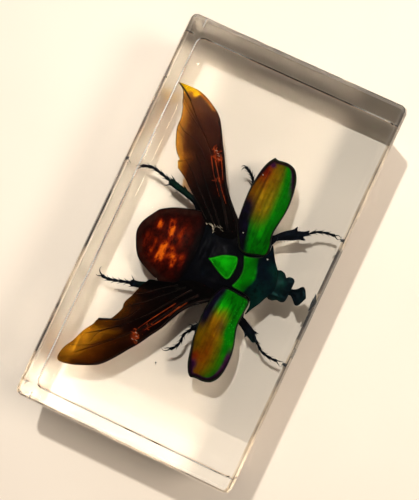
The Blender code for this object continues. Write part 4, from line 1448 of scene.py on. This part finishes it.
BIG = 1.5
floor_open = floor_piece("floor", [(-BIG, -PANE_X, -BIG, BIG), (PANE_X, BIG, -BIG, BIG),
                                   (-PANE_X, PANE_X, -BIG, -PANE_Y), (-PANE_X, PANE_X, PANE_Y, BIG)])
pane_far = floor_piece("floor_pane_far", [(-PANE_X, FAR_X, -PANE_Y, PANE_Y)])
pane_left = floor_piece("floor_pane_left", [(FAR_X, PANE_X, -PANE_Y, DARK_Y)])
pane_main = floor_piece("floor_pane_main", [(FAR_X, TURN_X, DARK_Y, TURN_Y)])
pane_x = floor_piece("floor_pane_end", [(TURN_X, PANE_X, DARK_Y, TURN_Y)])
pane_y = floor_piece("floor_pane_side", [(FAR_X, TURN_X, TURN_Y, PANE_Y)])
pane_xy = floor_piece("floor_pane_corner", [(TURN_X, PANE_X, TURN_Y, PANE_Y)])

# ---------------------------------------------------------------------------
# Light
# ---------------------------------------------------------------------------
KEY_W = 0.45            # the small lamp
KEY_IN_W = 0.74         # how much of it the resin lets through to the floor
BODY_W = 0.66           # how much of it reaches the insect
TURN_W = 0.53           # share of it that the end wall turns back
FILL_W = 0.54           # the larger lamp
SKY_W = 0.9             # broad soft light from one side
ZENITH_W = 0.16         # what the rest of the room gives
WALL_W = 0.66           # pale walls, low down on two sides
KEY_COL = (1.0, 0.99, 0.93)
KEY_IN_COL = (0.97, 1.0, 0.99)
FILL_COL = (1.0, 0.92, 0.80)


def group(name, objs):
    c = bpy.data.collections.new(name)
    for o in objs:
        c.objects.link(o)
    return c


insect = [o for o in bpy.data.objects if o.type == 'MESH' and o != block and not o.name.startswith("floor")]
panes = [pane_main, pane_x, pane_y, pane_xy]


def lamp(name, pos, size, power, col, lit=None, shaders=None, gloss=False, seen=False):
    """A round lamp aimed at the block. lit: what it lights; shaders: what can shade it."""
    ld = bpy.data.lights.new(name, 'AREA')
    ld.shape = 'DISK'
    ld.size = size
    ld.energy = power
    ld.color = col
    o = bpy.data.objects.new(name, ld)
    bpy.context.scene.collection.objects.link(o)
    o.location = pos
    o.rotation_euler = Vector(pos).to_track_quat('Z', 'Y').to_euler()
    o.visible_camera = False
    o.visible_glossy = gloss
    o.visible_transmission = seen
    if lit is not None:
        o.light_linking.receiver_collection = group(name + "_lights", lit)
    if shaders is not None:
        o.light_linking.blocker_collection = group(name + "_shaders", shaders)
    return o


scale_in = (KEY_IN[2] / KEY_POS[2]) ** 2 * KEY_IN_W
lamp("key", KEY_POS, 0.006, KEY_W, KEY_COL, lit=[floor_open])
lamp("key_in_resin", KEY_IN, 0.009, KEY_W * scale_in, KEY_IN_COL, lit=panes, shaders=insect)
lamp("key_on_insect", KEY_IN, 0.012, KEY_W * scale_in * BODY_W / KEY_IN_W, KEY_COL, lit=insect, shaders=insect, gloss=True)
lamp("key_turned_end", (2 * HALF_X - KEY_IN[0], KEY_IN[1], KEY_IN[2]), 0.009, KEY_W * scale_in * TURN_W, KEY_COL,
     lit=[pane_x, pane_xy], shaders=insect)
lamp("fill", FILL_POS, 0.09, FILL_W, FILL_COL, seen=True)


def soft_room():
    """A pale room: a broad glow low on one side, and a little light from all round."""
    w = bpy.data.worlds.new("soft_room")
    bpy.context.scene.world = w
    w.use_nodes = True
    t = w.node_tree
    bg = t.nodes["Background"]
    tc = t.nodes.new("ShaderNodeTexCoord")
    dot = t.nodes.new("ShaderNodeVectorMath")
    dot.operation = 'DOT_PRODUCT'
    t.links.new(tc.outputs["Generated"], dot.inputs[0])
    dot.inputs[1].default_value = Vector((-0.95, 0.12, 0.28)).normalized()
    n = t.nodes.new("ShaderNodeMapRange")
    n.interpolation_type = 'SMOOTHSTEP'
    t.links.new(dot.outputs["Value"], n.inputs[0])
    n.inputs[1].default_value = 0.1
    n.inputs[2].default_value = 0.95
    n.inputs[3].default_value = ZENITH_W
    n.inputs[4].default_value = ZENITH_W + SKY_W
    # pale walls low down on the other two sides
    xyz = t.nodes.new("ShaderNodeSeparateXYZ")
    t.links.new(tc.outputs["Generated"], xyz.inputs[0])
    side = t.nodes.new("ShaderNodeMath")
    side.operation = 'ABSOLUTE'
    t.links.new(xyz.outputs[1], side.inputs[0])
    facing = t.nodes.new("ShaderNodeMapRange")
    facing.interpolation_type = 'SMOOTHSTEP'
    t.links.new(side.outputs[0], facing.inputs[0])
    facing.inputs[1].default_value = 0.72
    facing.inputs[2].default_value = 0.92
    low = t.nodes.new("ShaderNodeMapRange")
    low.interpolation_type = 'SMOOTHSTEP'
    t.links.new(xyz.outputs[2], low.inputs[0])
    low.inputs[1].default_value = 0.60
    low.inputs[2].default_value = 0.34
    facing.inputs[3].default_value = 0.32
    wall = t.nodes.new("ShaderNodeMath")
    wall.operation = 'MULTIPLY'
    t.links.new(facing.outputs[0], wall.inputs[0])
    t.links.new(low.outputs[0], wall.inputs[1])
    high = t.nodes.new("ShaderNodeMapRange")        # the ceiling right overhead is dim
    high.interpolation_type = 'SMOOTHSTEP'
    t.links.new(xyz.outputs[2], high.inputs[0])
    high.inputs[1].default_value = 0.72
    high.inputs[2].default_value = 0.90
    high.inputs[3].default_value = 1.0
    high.inputs[4].default_value = 0.10
    room = t.nodes.new("ShaderNodeMath")
    room.operation = 'MULTIPLY'
    t.links.new(n.outputs[0], room.inputs[0])
    t.links.new(high.outputs[0], room.inputs[1])
    total = t.nodes.new("ShaderNodeMath")
    total.operation = 'MULTIPLY_ADD'
    t.links.new(wall.outputs[0], total.inputs[0])
    total.inputs[1].default_value = WALL_W
    t.links.new(room.outputs[0], total.inputs[2])
    t.links.new(total.outputs[0], bg.inputs[1])
    bg.inputs[0].default_value = (1.0, 0.94, 0.88, 1)


soft_room()

sc = bpy.context.scene
sc.view_settings.view_transform = "Standard"
sc.cycles.sample_clamp_indirect = 0
sc.cycles.blur_glossy = 0.0
sc.cycles.max_bounces = 16
sc.cycles.glossy_bounces = 10
sc.cycles.transmission_bounces = 16
